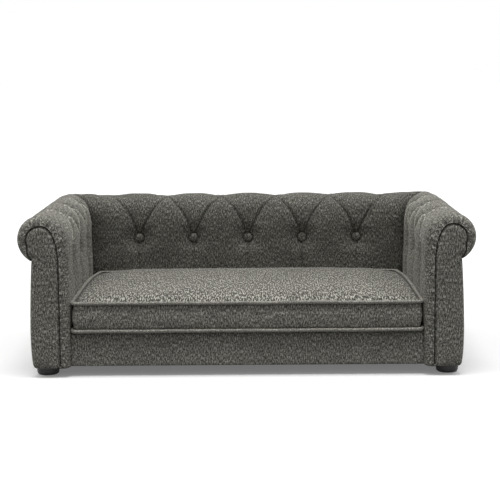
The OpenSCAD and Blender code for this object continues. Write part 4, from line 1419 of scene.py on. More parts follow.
        # Below the deck only the band goes on, down to the hem
        keep = np.ones((len(v) - 1, count - 1), bool)
        keep[: self.skirt_rows, band:] = False
        weave = np.stack([s, sec.run_of(vv)], -1)
        weave[:, 0, 0] = self.edge_y - 38
        weave[:, 1:band, 0] = self.edge_y - np.degrees(turns[1:]) * 0.3
        ridge = self.ridge * np.exp(-(((s - self.edge_y - self.ridge_at) / self.ridge_wide) ** 2))
        uz = uz - (ridge * np.clip(vv * 3, 0, 1))[..., None] * sec.inward(vv)
        held[:, : band + 4] = 1
        held[: self.skirt_rows + 4] = 1
        front, rear = sec.place(self.side, s, uz), sec.place(self.side, back_s, back)
        piece = shell(
            f"{self.side.value}_tufted_cover",
            swell_tufts(front, rear, held),
            rear,
            weave,
            self.roll_cloth or self.cloth,
            keep,
            # The painted light fades out over the band round the facing
            bloom=bloom * np.clip((s - self.edge_y) / 12, 0, 1),
        )
        return self.settle(piece, f"{self.side.value}_cover")

    def facing(self) -> bpy.types.Object:
        """The padded keyhole panel in the arm's front."""
        sec = self.section
        top = 2 + (sec.start - 90) / (sec.start - sec.neck)
        inner = sec.facing_edge(np.linspace(self.hem_row, top, 400), self.facing_gap)
        side = sec.outer_side(np.linspace(1.0 + self.hang / 210, 0, 260), self.facing_rim)
        head = sec.facing_edge(np.linspace(3, top, 200), self.facing_gap)
        left = evenly(inner, self.facing_rungs)
        right = evenly(np.concatenate([side, head[1:]]), self.facing_rungs)
        # The lower corners are rounded
        for line, way, r in ((left, 1, self.facing_inner_r), (right, -1, self.facing_outer_r)):
            near = np.clip(1 - (line[:, 1] - line[0, 1]) / r, 0, 1)
            line[:, 0] += way * r * (1 - np.sqrt(1 - near**2)) * 0.9
        across = 0.5 - 0.5 * np.cos(np.linspace(0, math.pi, 27))
        grid = left[:, None, :] + across[None, :, None] * (right - left)[:, None, :]
        near = edge_distance(grid, np.concatenate([left, right[::-1]]))
        near[:, 0] = near[:, -1] = near[0] = near[-1] = 0
        rise = np.sqrt(1 - (1 - np.clip(near / self.facing_edge_r, 0, 1)) ** 2)
        crown = self.facing_crown * (1 - np.clip(near / self.facing_crown_wide, 0, 1)) ** 2
        uneven = waves(grid[..., 0], grid[..., 1], 40, 21 + len(self.side.value), 2.0)
        puff = self.facing_unevenness * uneven * rise
        s = self.lip_y - rise * (self.lip_y - self.front_y - crown - puff) * 0.985
        front = sec.place(self.side, s, grid)
        back = sec.place(self.side, np.full_like(s, self.lip_y), grid)
        back[:, 0], back[:, -1], back[0], back[-1] = front[:, 0], front[:, -1], front[0], front[-1]
        weave = grid + np.array([300.0, 0.0])
        piece = shell(f"{self.side.value}_keyhole_facing", front, back, weave, self.cloth)
        return self.settle(piece, f"{self.side.value}_facing")

    def outer_cover(self) -> bpy.types.Object:
        """The plain cloth on the outside of the arm."""
        sec = self.section
        first = self.lip_y - self.outer_lap
        turned = spread(first, self.lip_y, 1.2)
        s = np.concatenate([turned, spread(self.lip_y, sec.roll_y + sec.neck_u, 7.0)[1:]])
        qq, ss = np.meshgrid(np.linspace(0, 1, 62), s, indexing="ij")
        uz = sec.outer_side(qq, 0.0)
        turn = np.clip((first + self.outer_turn - ss) / self.outer_turn, 0, 1)
        uz[..., 0] -= self.outer_turn_in * (1 - np.sqrt(1 - turn**2))
        uz[..., 0] -= 0.2 + self.outer_unevenness * waves(ss, uz[..., 1], 60, 9, 2.5) ** 2
        # The last columns run on to the mitre with the back's outer cover
        end = s[-1] - self.outer_end
        limit = sec.roll_y + uz[..., 0] - sec.mitre_gap
        ss = np.where(ss >= end, np.minimum(ss + (ss - end) * 0.3, limit), ss)
        ss[:, -1] = limit[:, -1]
        back = uz.copy()
        back[..., 0] = np.where(ss < self.lip_y + 0.1, sec.outer_side(qq, 3.0)[..., 0], sec.outer_u)
        back_s = np.minimum(ss, sec.roll_y + back[..., 0] - sec.mitre_gap)
        piece = shell(
            f"{self.side.value}_outer_cover",
            sec.place(self.side, ss, uz),
            sec.place(self.side, back_s, back),
            np.stack([ss, -uz[..., 1]], -1),
            self.cloth,
        )
        node = "left_outer_arm_cover" if self.side is Side.LEFT else "right_outer_arm_cover"
        return self.settle(piece, node, fill=0.5)


@dataclass
class TuftedBack(Upholstery):
    """The back: tufted cover and plain outer cover."""

    buttons: tuple[float, ...] = (-246.0, -123.0, 0.0, 123.0, 246.0)
    dips: tuple[float, ...] = (-307.5, -184.5, -61.5, 61.5, 184.5, 307.5)
    crease: tuple[tuple[float, float], ...] = (
        (0, 1.3),
        (0.9, 1.6),
        (1, 4.0),
        (1.5, 3.8),
        (1.85, 3.0),
        (2.2, 0.2),
    )
    hollow: tuple[tuple[float, float], ...] = (
        (0, 0.6),
        (0.7, 1.0),
        (1, 1.4),
        (1.6, 1.8),
        (2.3, 4.3),
        (3, 1.0),
    )
    step: float = 2.9
    corner_steps: int = 19
    sag: float = 3.0
    # Painted shade in the back's creases
    dark: float = 0.85
    behind_shade_lift: float = 0.75
    outer_unevenness: float = 0.35

    def cover(self) -> bpy.types.Object:
        """The tufted cover over the back."""
        sec = self.section
        tufting = Tufting(
            sec,
            self.buttons,
            self.dips,
            5,
            self.crease,
            self.hollow,
            dark=self.dark,
            sag=self.sag,
        )
        v = sec.rows(self.step)
        last = self.dips[-1]
        crest = sec.crest(v)
        corner = np.linspace(0, 1, self.corner_steps + 1)[1:]
        n = len(corner)
        face = spread(-last, last, self.step)
        run = sec.roll_x + crest[:, 0] - last
        right = last + corner * run[:, None]
        s = np.concatenate([-right[:, ::-1], np.repeat(face[None, :], len(v), 0), right], 1)
        count = s.shape[1]
        vv = np.repeat(v[:, None], count, 1)
        away = np.full_like(s, FAR)
        away[:, -n:] = (1 - corner) * run[:, None]
        away[:, :n] = away[:, -n:][:, ::-1]
        uz, held, bloom = tufted_skin(tufting, s, vv, away)
        # Behind the crest the back cloth's painted shade is lifted off again, to the plain covers' tone
        bloom = bloom + self.behind_shade_lift * smooth_step((vv - 2.15) / 0.5)
        # The corner's last columns follow the mitre, as deep as the cloth lies there
        share = np.zeros(count)
        share[-n:] = corner**8
        share[:n] = -(corner**8)[::-1]
        s = s + share * (uz[..., 0] - crest[:, None, 0] - sec.mitre_gap)
        back = np.repeat(sec.lining(v)[:, None, :], count, 1)
        back_s = s.copy()
        back_s[:, -n:] = last + corner * (sec.roll_x + back[:, :1, 0] - sec.mitre_gap - last)
        back_s[:, :n] = -back_s[:, -n:][:, ::-1]
        front, rear = sec.place(Side.BACK, s, uz), sec.place(Side.BACK, back_s, back)
        piece = shell(
            "back_tufted_cover",
            swell_tufts(front, rear, held),
            rear,
            np.stack([s, sec.run_of(vv)], -1),
            self.cloth,
            bloom=bloom,
        )
        return self.settle(piece, "back_cover")

    def outer_cover(self, cloth: bpy.types.Material) -> bpy.types.Object:
        """The plain cloth behind the back.

        Args:
            cloth: The finish, the same as on the arms' outsides, without the painted shade of the tufted
                back.

        Returns:
            The piece.
        """
        sec = self.section
        qq, ww = np.meshgrid(np.linspace(0, 1, 62), np.linspace(-1, 1, 121), indexing="ij")
        uz = sec.outer_side(qq, 0.0)
        s = ww * (sec.roll_x + uz[..., 0] - sec.mitre_gap)
        uneven = 0.25 + self.outer_unevenness * waves(s, uz[..., 1], 70, 13, 2.5) ** 2
        uz[..., 0] -= uneven * (1 - np.abs(ww) ** 20)
        back = uz.copy()
        back[..., 0] = sec.outer_u
        piece = shell(
            "back_outer_cover",
            sec.place(Side.BACK, s, uz),
            sec.place(Side.BACK, ww * (sec.roll_x + sec.outer_u - sec.mitre_gap), back),
            np.stack([s, -uz[..., 1]], -1),
            cloth,
        )
        return self.settle(piece, "outer_back_cover", fill=0.5)


@dataclass
class ButtonSet(Upholstery):
    """The covered buttons, one mesh for each side.

    The profile holds (radius, height) pairs from the shank's end up to the rim.
    """

    seat: float = 9.0
    profile: tuple[tuple[float, float], ...] = (
        (0.0, -3.0),
        (2.5, -3.0),
        (2.6, -0.6),
        (6.2, -0.3),
        (8.9, 0.1),
        (9.5, 1.1),
        (9.45, 2.2),
    )
    radius: float = 9.5
    rim_up: float = 2.2
    dome: float = 2.6
    crown_up: float = 4.9
    gather: float = 0.16
    gathers: int = 12

    def _template(self) -> bpy.types.Object:
        """One covered button: a domed cap with its cloth gathered round the rim and a shank."""
        rings = list(self.profile)
        for a in np.radians([14, 28, 42, 56, 70, 82]):
            rings.append((self.radius * math.cos(a), self.rim_up + self.dome * math.sin(a)))
        rings.append((0.0, self.crown_up))
        turns = np.linspace(0, math.tau, 49)[:-1]
        points, weave, faces = [], [], []
        for r, h in rings:
            share = smooth_step(np.array((r - 5) / 4)).item()
            for a in turns:
                inner = r - self.gather * math.cos(self.gathers * a) * share
                points.append((inner * math.cos(a), inner * math.sin(a), h))
                weave.append((points[-1][0] + 20, points[-1][1] + h))
        n = len(turns)
        for k in range(len(rings) - 1):
            for i in range(n):
                j = (i + 1) % n
                faces.append((k * n + i, k * n + j, (k + 1) * n + j, (k + 1) * n + i))
        return mesh_object("button_template", np.array(points), faces, np.array(weave), self.cloth)

    def _tree(self) -> bpy.types.NodeTree:
        """Sets one turned button on each point."""
        tree = bpy.data.node_groups.new("buttons_on_points", "GeometryNodeTree")
        face = tree.interface
        face.new_socket("Places", in_out="INPUT", socket_type="NodeSocketGeometry")
        face.new_socket("Button", in_out="INPUT", socket_type="NodeSocketObject")
        face.new_socket("Turn", in_out="INPUT", socket_type="NodeSocketRotation")
        face.new_socket("Finish", in_out="INPUT", socket_type="NodeSocketMaterial")
        face.new_socket("Buttons", in_out="OUTPUT", socket_type="NodeSocketGeometry")
        given = add_node(tree, "NodeGroupInput")
        shape = add_node(tree, "GeometryNodeObjectInfo", inputs={"Object": given.outputs["Button"]})
        spun = add_node(
            tree,
            "FunctionNodeRandomValue",
            {"data_type": "FLOAT_VECTOR"},
            {0: (0.0, 0.0, 0.0), 1: (0.0, 0.0, math.tau), "Seed": 5},
        )
        turned = add_node(
            tree,
            "FunctionNodeRotateRotation",
            {"rotation_space": "LOCAL"},
            {0: given.outputs["Turn"], 1: spun.outputs[0]},
        )
        placed = add_node(
            tree,
            "GeometryNodeInstanceOnPoints",
            inputs={
                "Points": given.outputs["Places"],
                "Instance": shape.outputs["Geometry"],
                "Rotation": turned.outputs[0],
            },
        )
        real = add_node(tree, "GeometryNodeRealizeInstances", inputs={0: placed.outputs[0]})
        dressed = add_node(
            tree,
            "GeometryNodeSetMaterial",
            inputs={"Geometry": real.outputs[0], "Material": given.outputs["Finish"]},
        )
        add_node(tree, "NodeGroupOutput", inputs={0: dressed.outputs[0]})
        return tree

    def build(self, rows: dict[Side, tuple[float, ...]]) -> None:
        """Makes the buttons of every side.

        Args:
            rows: The buttons' places along each side.
        """
        template = self._template()
        tree = self._tree()
        quarter = math.pi / 2
        turn = {
            Side.LEFT: (0.0, quarter, 0.0),
            Side.RIGHT: (0.0, -quarter, 0.0),
            Side.BACK: (quarter, 0.0, 0.0),
        }
        inputs = [item for item in tree.interface.items_tree if item.in_out == "INPUT"]
        ids = {item.name: item.identifier for item in inputs}
        sec = self.section
        for side, places in rows.items():
            s = np.array(places)
            uz = np.tile([-sec.face_in + self.seat, sec.button_z], (len(s), 1))
            points = sec.place(side, s, uz) * MM
            data = bpy.data.meshes.new("button_places")
            data.from_pydata(points.tolist(), [], [])
            holder = bpy.data.objects.new("button_places", data)
            bpy.context.scene.collection.objects.link(holder)
            mod = holder.modifiers.new("buttons", "NODES")
            mod.node_group = tree
            mod[ids["Button"]] = template
            mod[ids["Turn"]] = Euler(turn[side])
            mod[ids["Finish"]] = self.cloth
            piece = plain_mesh(holder, f"{side.value}_covered_buttons")
            self.settle(piece, f"{side.value}_buttons", fill=0.8)
        bpy.data.objects.remove(template)


@dataclass
class SeatBase(Upholstery):
    """The cloth of the base: front rail cover, deck cover and dust cover.

    Where the cloth turns round the rail, the turns hold (place, height) pairs. Places are from
    the rail's face, and heights from the deck for the upper turn and from the floor for the lower.
    """

    face_x: float = 350.5
    rail_y: float = -254.7
    rail_cloth: float = 3.3
    rail_swell: float = 0.7
    rail_drop: float = 61.5
    upper_turn: tuple[tuple[float, float], ...] = ((0.0, -0.3), (-1.6, -0.5), (-2.7, -1.4), (-3.2, -3.0))
    lower_turn: tuple[tuple[float, float], ...] = ((-3.2, 23.4), (-2.6, 22.0), (-1.4, 21.2), (0.0, 21.0))
    end_wide: float = 5.0
    end_in: float = 3.0
    seam_dark: float = 0.7
    seam_dark_down: float = 9.0
    deck_z: float = 89.0
    deck_rear: float = 196.0
    dust_half_x: float = 418.0
    dust_rear: float = 243.0
    dust_z: float = 20.95
    dust: bpy.types.Material | None = None

    def rail_cover(self) -> bpy.types.Object:
        """The cloth over the front rail, padded a little and pulled under it."""
        half = self.face_x + 0.6
        path = [(y, self.deck_z + z) for y, z in self.upper_turn]
        down = self.deck_z + self.upper_turn[-1][1]
        for t in np.linspace(0.03, 1, 36):
            out = self.rail_cloth + self.rail_swell * math.sin(math.pi * t)
            path.append((-out, down - t * self.rail_drop))
        line = np.array(path + list(self.lower_turn))
        xx, rr = np.meshgrid(spread(-half, half, 3.0), run_along(line))
        y, z = (np.repeat(line[:, k : k + 1], xx.shape[1], 1) for k in (0, 1))
        middle = np.clip(-y / self.rail_cloth, 0, 1)
        y = y + middle * (0.45 * waves(xx, z, 55, 17, 1.8) + 0.25 * waves(xx, z, 18, 18, 3.0))
        end = np.clip((np.abs(xx) - half + self.end_wide) / self.end_wide, 0, 1)
        y = np.where(middle > 0, y + self.end_in * (1 - np.sqrt(1 - end**2)), y)
        y = np.minimum(y, 0.0)
        front = np.stack([xx, self.rail_y + y, z], -1)
        back = np.stack([xx, np.full_like(y, self.rail_y), z], -1)
        back[0], back[-1] = front[0], front[-1]
        # Painted shadow of the cushion on the rail, darkest at its top
        bloom = -self.seam_dark * np.exp(-((self.deck_z - z) / self.seam_dark_down))
        piece = shell("front_rail_cloth", front, back, np.stack([xx, -rr], -1), self.cloth, bloom=bloom)
        return self.settle(piece, "front_rail_cover", fill=0.4)

    def _flat(
        self,
        name: str,
        low: tuple[float, float],
        high: tuple[float, float],
        z: float,
        thick: float,
        sag: float,
        material: bpy.types.Material,
    ) -> bpy.types.Object:
        """A stretched sheet that sags a little between its edges."""
        x, y = spread(low[0], high[0], 9.0), spread(low[1], high[1], 9.0)
        xx, yy = np.meshgrid(x, y)
        a = np.clip((xx - low[0]) / (high[0] - low[0]), 0, 1)
        b = np.clip((yy - low[1]) / (high[1] - low[1]), 0, 1)
        dip = sag * (16 * a * (1 - a) * b * (1 - b)) ** 0.5 * (0.8 + 0.2 * waves(xx, yy, 120, 31))
        top = np.stack([xx, yy, np.full_like(xx, z) - dip], -1)
        under = top - np.array([0, 0, thick])
        return shell(name, top, under, np.stack([xx, yy], -1), material)

    def deck_cloth(self) -> bpy.types.Object:
        """The cloth stretched over the plywood deck."""
        low, high = (-self.face_x, self.rail_y), (self.face_x, self.deck_rear)
        piece = self._flat("deck_cloth", low, high, self.deck_z, 1.0, 0.15, self.cloth)
        self.settle(piece, "deck_cover", fill=None)
        return piece

    def dust_cloth(self) -> bpy.types.Object:
        """The thin black cloth stapled under the frame."""
        low, high = (-self.dust_half_x, self.rail_y), (self.dust_half_x, self.dust_rear)
        piece = self._flat("dust_cloth", low, high, self.dust_z, 0.4, 0.4, self.dust or self.cloth)
        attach(piece, self.body)
        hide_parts("dust_cover")
        return piece


@dataclass
class BoxCushion(Upholstery):
    """The loose cushion: crowned top, boxing, bottom panel and two rows of self piping."""

    body: str = "cushion"
    slot: str = "cushion_cloth"
    low: float = 89.3
    height: float = 62.0
    crown: float = 12.0
    pipe: float = 3.2
    corner: float = 16.0
    top_cloth: bpy.types.Material | None = None
    pipe_cloth: bpy.types.Material | None = None
    taper: float = 0.03
    taper_from: float = -60.0
    drop: float = 4.5
    drop_wide: float = 65.0
    half_x: float = 349.0
    front: float = -270.0
    rear: float = 174.0
    under_pipe: float = 0.6
    panel_step: float = 5.0
    seam_wander: float = 0.75
    cord_out: float = 1.15
    cord_up: float = 1.12
    cord_proud: float = 1.0
    seam_rise: float = 2.6
    seam_rise_wide: float = 9.0
    gather: float = 0.5
    gather_wide: float = 16.0
    unevenness: float = 0.8
    boxing_swell: float = 3.8
    boxing_thick: float = 2.2
    zip_half: float = 294.0
    zip_up: float = 13.5
    top_dark: float = 0.35
    top_dark_wide: float = 3.0
    rear_dark: float = 0.24
    boxing_dark: float = 0.7
    boxing_dark_wide: float = 7.5

    @property
    def middle_y(self) -> float:
        """Middle of the cushion, from front to rear."""
        return (self.front + self.rear) / 2

    @property
    def half_y(self) -> float:
        """Half of the cushion's depth."""
        return (self.rear - self.front) / 2

    def outline(self, inset: float, step: float = 4.0) -> tuple[Grid, Grid, Grid]:
        """The plan, drawn in from the outer edge.

        Args:
            inset: How far the line is drawn in.
            step: Distance between points.

        Returns:
            Points in plan, outward directions, and the length run so far.
        """
        r = self.corner - inset
        cx, cy = self.half_x - self.corner, self.half_y - self.corner
        points: list[tuple[float, float]] = []
        ways: list[tuple[float, float]] = []
        corners = ((cx, -cy, -90.0), (cx, cy, 0.0), (-cx, cy, 90.0), (-cx, -cy, 180.0))
        for k, (x, y, a0) in enumerate(corners):
            for a in np.radians(a0 + np.linspace(0, 90, 11)):
                points.append((x + r * math.cos(a), y + r * math.sin(a)))
                ways.append((math.cos(a), math.sin(a)))
            x2, y2, _ = corners[(k + 1) % 4]
            a = math.radians(a0 + 90)
            length = math.hypot(x2 - x, y2 - y)
            for t in spread(0, 1, step / length)[1:-1]:
                points.append((x + (x2 - x) * t + r * math.cos(a), y + (y2 - y) * t + r * math.sin(a)))
                ways.append((math.cos(a), math.sin(a)))
        line = np.array(points)
        return line, np.array(ways), run_along(line)

    def wobble(self, line: Grid, seed: int) -> Grid:
        """How a seam wanders up and down along the edge."""
        return self.seam_wander * waves(line[:, 0], line[:, 1], 95, seed) * 0.6

    def piping(self, name: str, node: str, z: float, seed: int) -> bpy.types.Object:
        """One row of self piping, cut on the bias."""
        line, way, run = self.outline(self.pipe)
        turns = np.linspace(0, math.tau, 17)[:-1]
        swell = 1 + 0.04 * waves(run, run * 0, 14, seed + 3)
        ring = []
        for a in turns:
            out = self.pipe * swell * math.cos(a) * self.cord_out + self.cord_proud
            up = self.pipe * swell * math.sin(a) * self.cord_up
            ring.append(np.column_stack([line + way * out[:, None], z + up + self.wobble(line, seed)]))
        points = np.array(ring).transpose(1, 0, 2)
        points[..., 1] += self.middle_y
        n, m = points.shape[:2]
        flat = self.ease(points).reshape(-1, 3)
        faces = [
            (i * m + j, ((i + 1) % n) * m + j, ((i + 1) % n) * m + (j + 1) % m, i * m + (j + 1) % m)
            for i in range(n)
            for j in range(m)
        ]
        around = np.arange(m) * self.pipe * math.tau / m
        weave = np.stack([run[:, None] + around, around - run[:, None]], -1).reshape(-1, 2) * 0.7071
        piece = mesh_object(name, flat, faces, weave, self.pipe_cloth or self.cloth)
        return self.settle(piece, node, fill=1.0)

    def ease(self, points: Grid) -> Grid:
        """Draws the cushion in toward its rear and lets its rear corners drop."""
        eased = points.copy()
        x, y, z = points[..., 0], points[..., 1], points[..., 2]
        rear = np.clip((y - self.taper_from) / (self.rear - self.taper_from), 0, 1) ** 2
        eased[..., 0] = x * (1 - self.taper * rear)
        away = np.hypot(np.abs(x) - self.half_x + 10, y - self.rear + 5)
        corner = np.exp(-((away / self.drop_wide) ** 2))
        eased[..., 2] = z - self.drop * corner * (z - self.low) / self.height
        return eased

    def panel(self, step: float) -> tuple[Grid, Grid, Grid]:
        """Plan of the top or bottom panel inside the piping.

        Args:
            step: Distance between points.

        Returns:
            Places along x and y, and distances to the seam.
        """
        x0, y0, r = (at - 2 * self.pipe + self.under_pipe for at in (self.half_x, self.half_y, self.corner))
        xx, yy = np.meshgrid(spread(-x0, x0, step), spread(-y0, y0, step))
        dx, dy = np.clip(np.abs(xx) - x0 + r, 0, None), np.clip(np.abs(yy) - y0 + r, 0, None)
        both = (dx > 0) & (dy > 0)
        k = np.where(both, np.maximum(dx, dy) / np.maximum(np.hypot(dx, dy), 1e-6), 1)
        px, py = np.sign(xx) * (np.abs(xx) - (1 - k) * dx), np.sign(yy) * (np.abs(yy) - (1 - k) * dy)
        return px, py, np.minimum(x0 - np.abs(px), y0 - np.abs(py))

    def top(self) -> Sheet:
        """The crowned top panel, gathered a little along its seams."""
        px, py, edge = self.panel(self.panel_step)
        full = (1 - np.abs(px / self.half_x) ** 5) * (1 - np.abs(py / self.half_y) ** 4)
        z = (self.crown - 2.5) * full + self.seam_rise * (1 - np.exp(-edge / self.seam_rise_wide))
        z += self.unevenness * waves(px, py, 150, 41) * full
        # The gathers run along whichever seam is nearer
        to_long_seam = self.half_y - 2 * self.pipe + self.under_pipe - np.abs(py)
        side = np.where(edge < to_long_seam + 1e-6, py, px)
        gathered = self.gather * waves(side, side * 0, 23, 43) * np.exp(-edge / self.gather_wide)
        z += gathered * np.clip(edge / 3, 0, 1)
        base = self.low + self.height - self.pipe - 2.2
        top = np.stack([px, py + self.middle_y, base + z], -1)
        under = np.stack([px, py + self.middle_y, base - 1.0 + z * 0.75], -1)
        held = np.clip(1 - (edge - 2) / 12, 0, 1)
        return Sheet(self.ease(top), held, self.ease(under))

    def boxing(self) -> tuple[Sheet, Grid]:
        """The band between the two pipings, swelling between its seams, and its weave."""
        line, way, run = self.outline(2 * self.pipe + 0.3)
        low, high = self.low + 1.2, self.low + self.height - 1.2
        t = np.concatenate([[0, 0.05], np.linspace(0.09, 0.91, 19), [0.95, 1]])
        swelled = np.clip(np.sin(math.pi * np.clip((t - 0.1) / 0.8, 0, 1)), 0, 1) ** 0.6 * self.boxing_swell
        z = low + t * (high - low)
        puff = waves(np.repeat(run[None, :], len(t), 0), z[:, None], 42, 51, 3.0)
        out = swelled[:, None] * (1 + 0.14 * puff)
        # Round the zip the cloth lies flat and a little in
        rear = smooth_step((line[:, 1] - self.half_y + 14) / 3) * (np.abs(line[:, 0]) < self.zip_half)
        slot = rear[None, :] * smooth_step((self.zip_up - np.abs(z - z.mean())) / 2.5)[:, None]
        out = out * (1 - slot) + slot * -1.0
        rise = self.wobble(line, 61)[None, :] * t[:, None] + self.wobble(line, 67)[None, :] * (1 - t[:, None])
        x, y = (line[:, k] + way[:, k] * out for k in (0, 1))
        front = np.stack([x, y + self.middle_y, z[:, None] + rise], -1)
        back = front.copy()
        back[..., :2] -= way * self.boxing_thick
        held = np.clip(1 - (np.minimum(t, 1 - t) - 0.08) * 8, 0, 1)[:, None] + slot + rear[None, :]
        cloth = np.stack([np.repeat(run[None, :], len(t), 0), np.repeat(z[:, None], len(run), 1)], -1)
        return Sheet(self.ease(front), np.clip(held, 0, 1), self.ease(back), ring=True), cloth

    def build(self) -> None:
        """Makes every cloth piece of the cushion, swelled by its filling."""
        top, (band, weave) = self.top(), self.boxing()
        top_now, band_now = CUSHION_FILLING.settle([top, band])
        flat = top.points[..., :2]
        cloth = self.top_cloth or self.cloth
        _, py, edge = self.panel(self.panel_step)
        # Painted shade along the top's seam, growing toward the rear under the back, with a little painted
        # light at the front
        bloom = -self.top_dark * np.exp(-edge / self.top_dark_wide)
        bloom = bloom - self.rear_dark * np.clip(py / self.half_y, -0.4, 1)
        under = np.minimum(top.under, top_now - [0, 0, 0.8])
        piece = shell("cushion_crowned_top", top_now, under, flat, cloth, bloom=bloom)
        self.settle(piece, "cushion_top_panel", fill=0.85)
        under = band.under + band_now - band.points
        near = np.minimum(weave[..., 1] - weave[0, 0, 1], weave[-1, 0, 1] - weave[..., 1])
        # Painted shade along the boxing's seams, beside the piping
        bloom = -self.boxing_dark * np.exp(-((near / self.boxing_dark_wide) ** 4))
        piece = shell("cushion_boxing_band", band_now, under, weave, self.cloth, ring=True, bloom=bloom)
        self.settle(piece, "cushion_boxing", fill=0.85)
        px, py, _ = self.panel(12.0)
        low = self.ease(np.stack([px, py + self.middle_y, np.full_like(px, self.low + 0.2)], -1))
        piece = shell("cushion_flat_bottom", low + [0, 0, 1.6], low, low[..., :2], self.cloth)
        self.settle(piece, "cushion_bottom_panel", fill=0.85)
        self.piping("cushion_upper_piping", "cushion_top_piping", self.low + self.height - self.pipe, 61)
        self.piping("cushion_lower_piping", "cushion_bottom_piping", self.low + self.pipe, 67)


@dataclass
class Frame:
    """The nodes that keep their CAD shape and only get their finish."""

    finishes: dict[str, bpy.types.Material]

    def dress(self) -> None:
        """Gives each node its finish."""
        for finish, names in FRAME_FINISHES.items():
            for name in names:
                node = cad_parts[name]
                node.data.materials.clear()
                node.data.materials.append(self.finishes[finish])
            log.info("%s: %d nodes", finish, len(names))


@dataclass
class FoamBlocks:
    """The foam inside the arms, the back and the cushion, as soft pieces of their own."""

    foam: bpy.types.Material
    cushion: BoxCushion
    pressed: float = 3.5
    bodies: tuple[tuple[str, str], ...] = (
        ("left_arm_foam", "sofa"),
        ("right_arm_foam", "sofa"),
        ("back_foam", "sofa"),
        ("cushion_foam", "cushion"),
    )

    def build(self) -> None:
        """Copies each foam solid's form, and presses the cushion's a little under its cloth."""
        for node, body in self.bodies:
            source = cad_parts[node]
            data = source.data.copy()
            data.name = f"{node}_block"
            work = bmesh.new()
            work.from_mesh(data)
            bmesh.ops.remove_doubles(work, verts=work.verts, dist=1e-6)
            bmesh.ops.recalc_face_normals(work, faces=work.faces)
            work.to_mesh(data)
            work.free()
            if body == "cushion":
                points = np.array([v.co[:] for v in data.vertices]) / MM
                points = self.cushion.ease(points)
                up = points[:, 2] - self.cushion.low
                points[:, 2] -= self.pressed * up / self.cushion.height
                data.vertices.foreach_set("co", (points * MM).astype(np.float32).ravel())
            data.materials.clear()
            data.materials.append(self.foam)
            piece = bpy.data.objects.new(f"{node}_block", data)
            bpy.context.scene.collection.objects.link(piece)
            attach(piece, body)
            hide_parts(node)
            log.info("%s: foam", piece.name)


# The studio


@dataclass(frozen=True)
class Lamp:
    """A broad, soft lamp: its height above the horizon and its turn, in degrees, and its strength."""

    name: str
    height: float
    turn: float
    strength: float


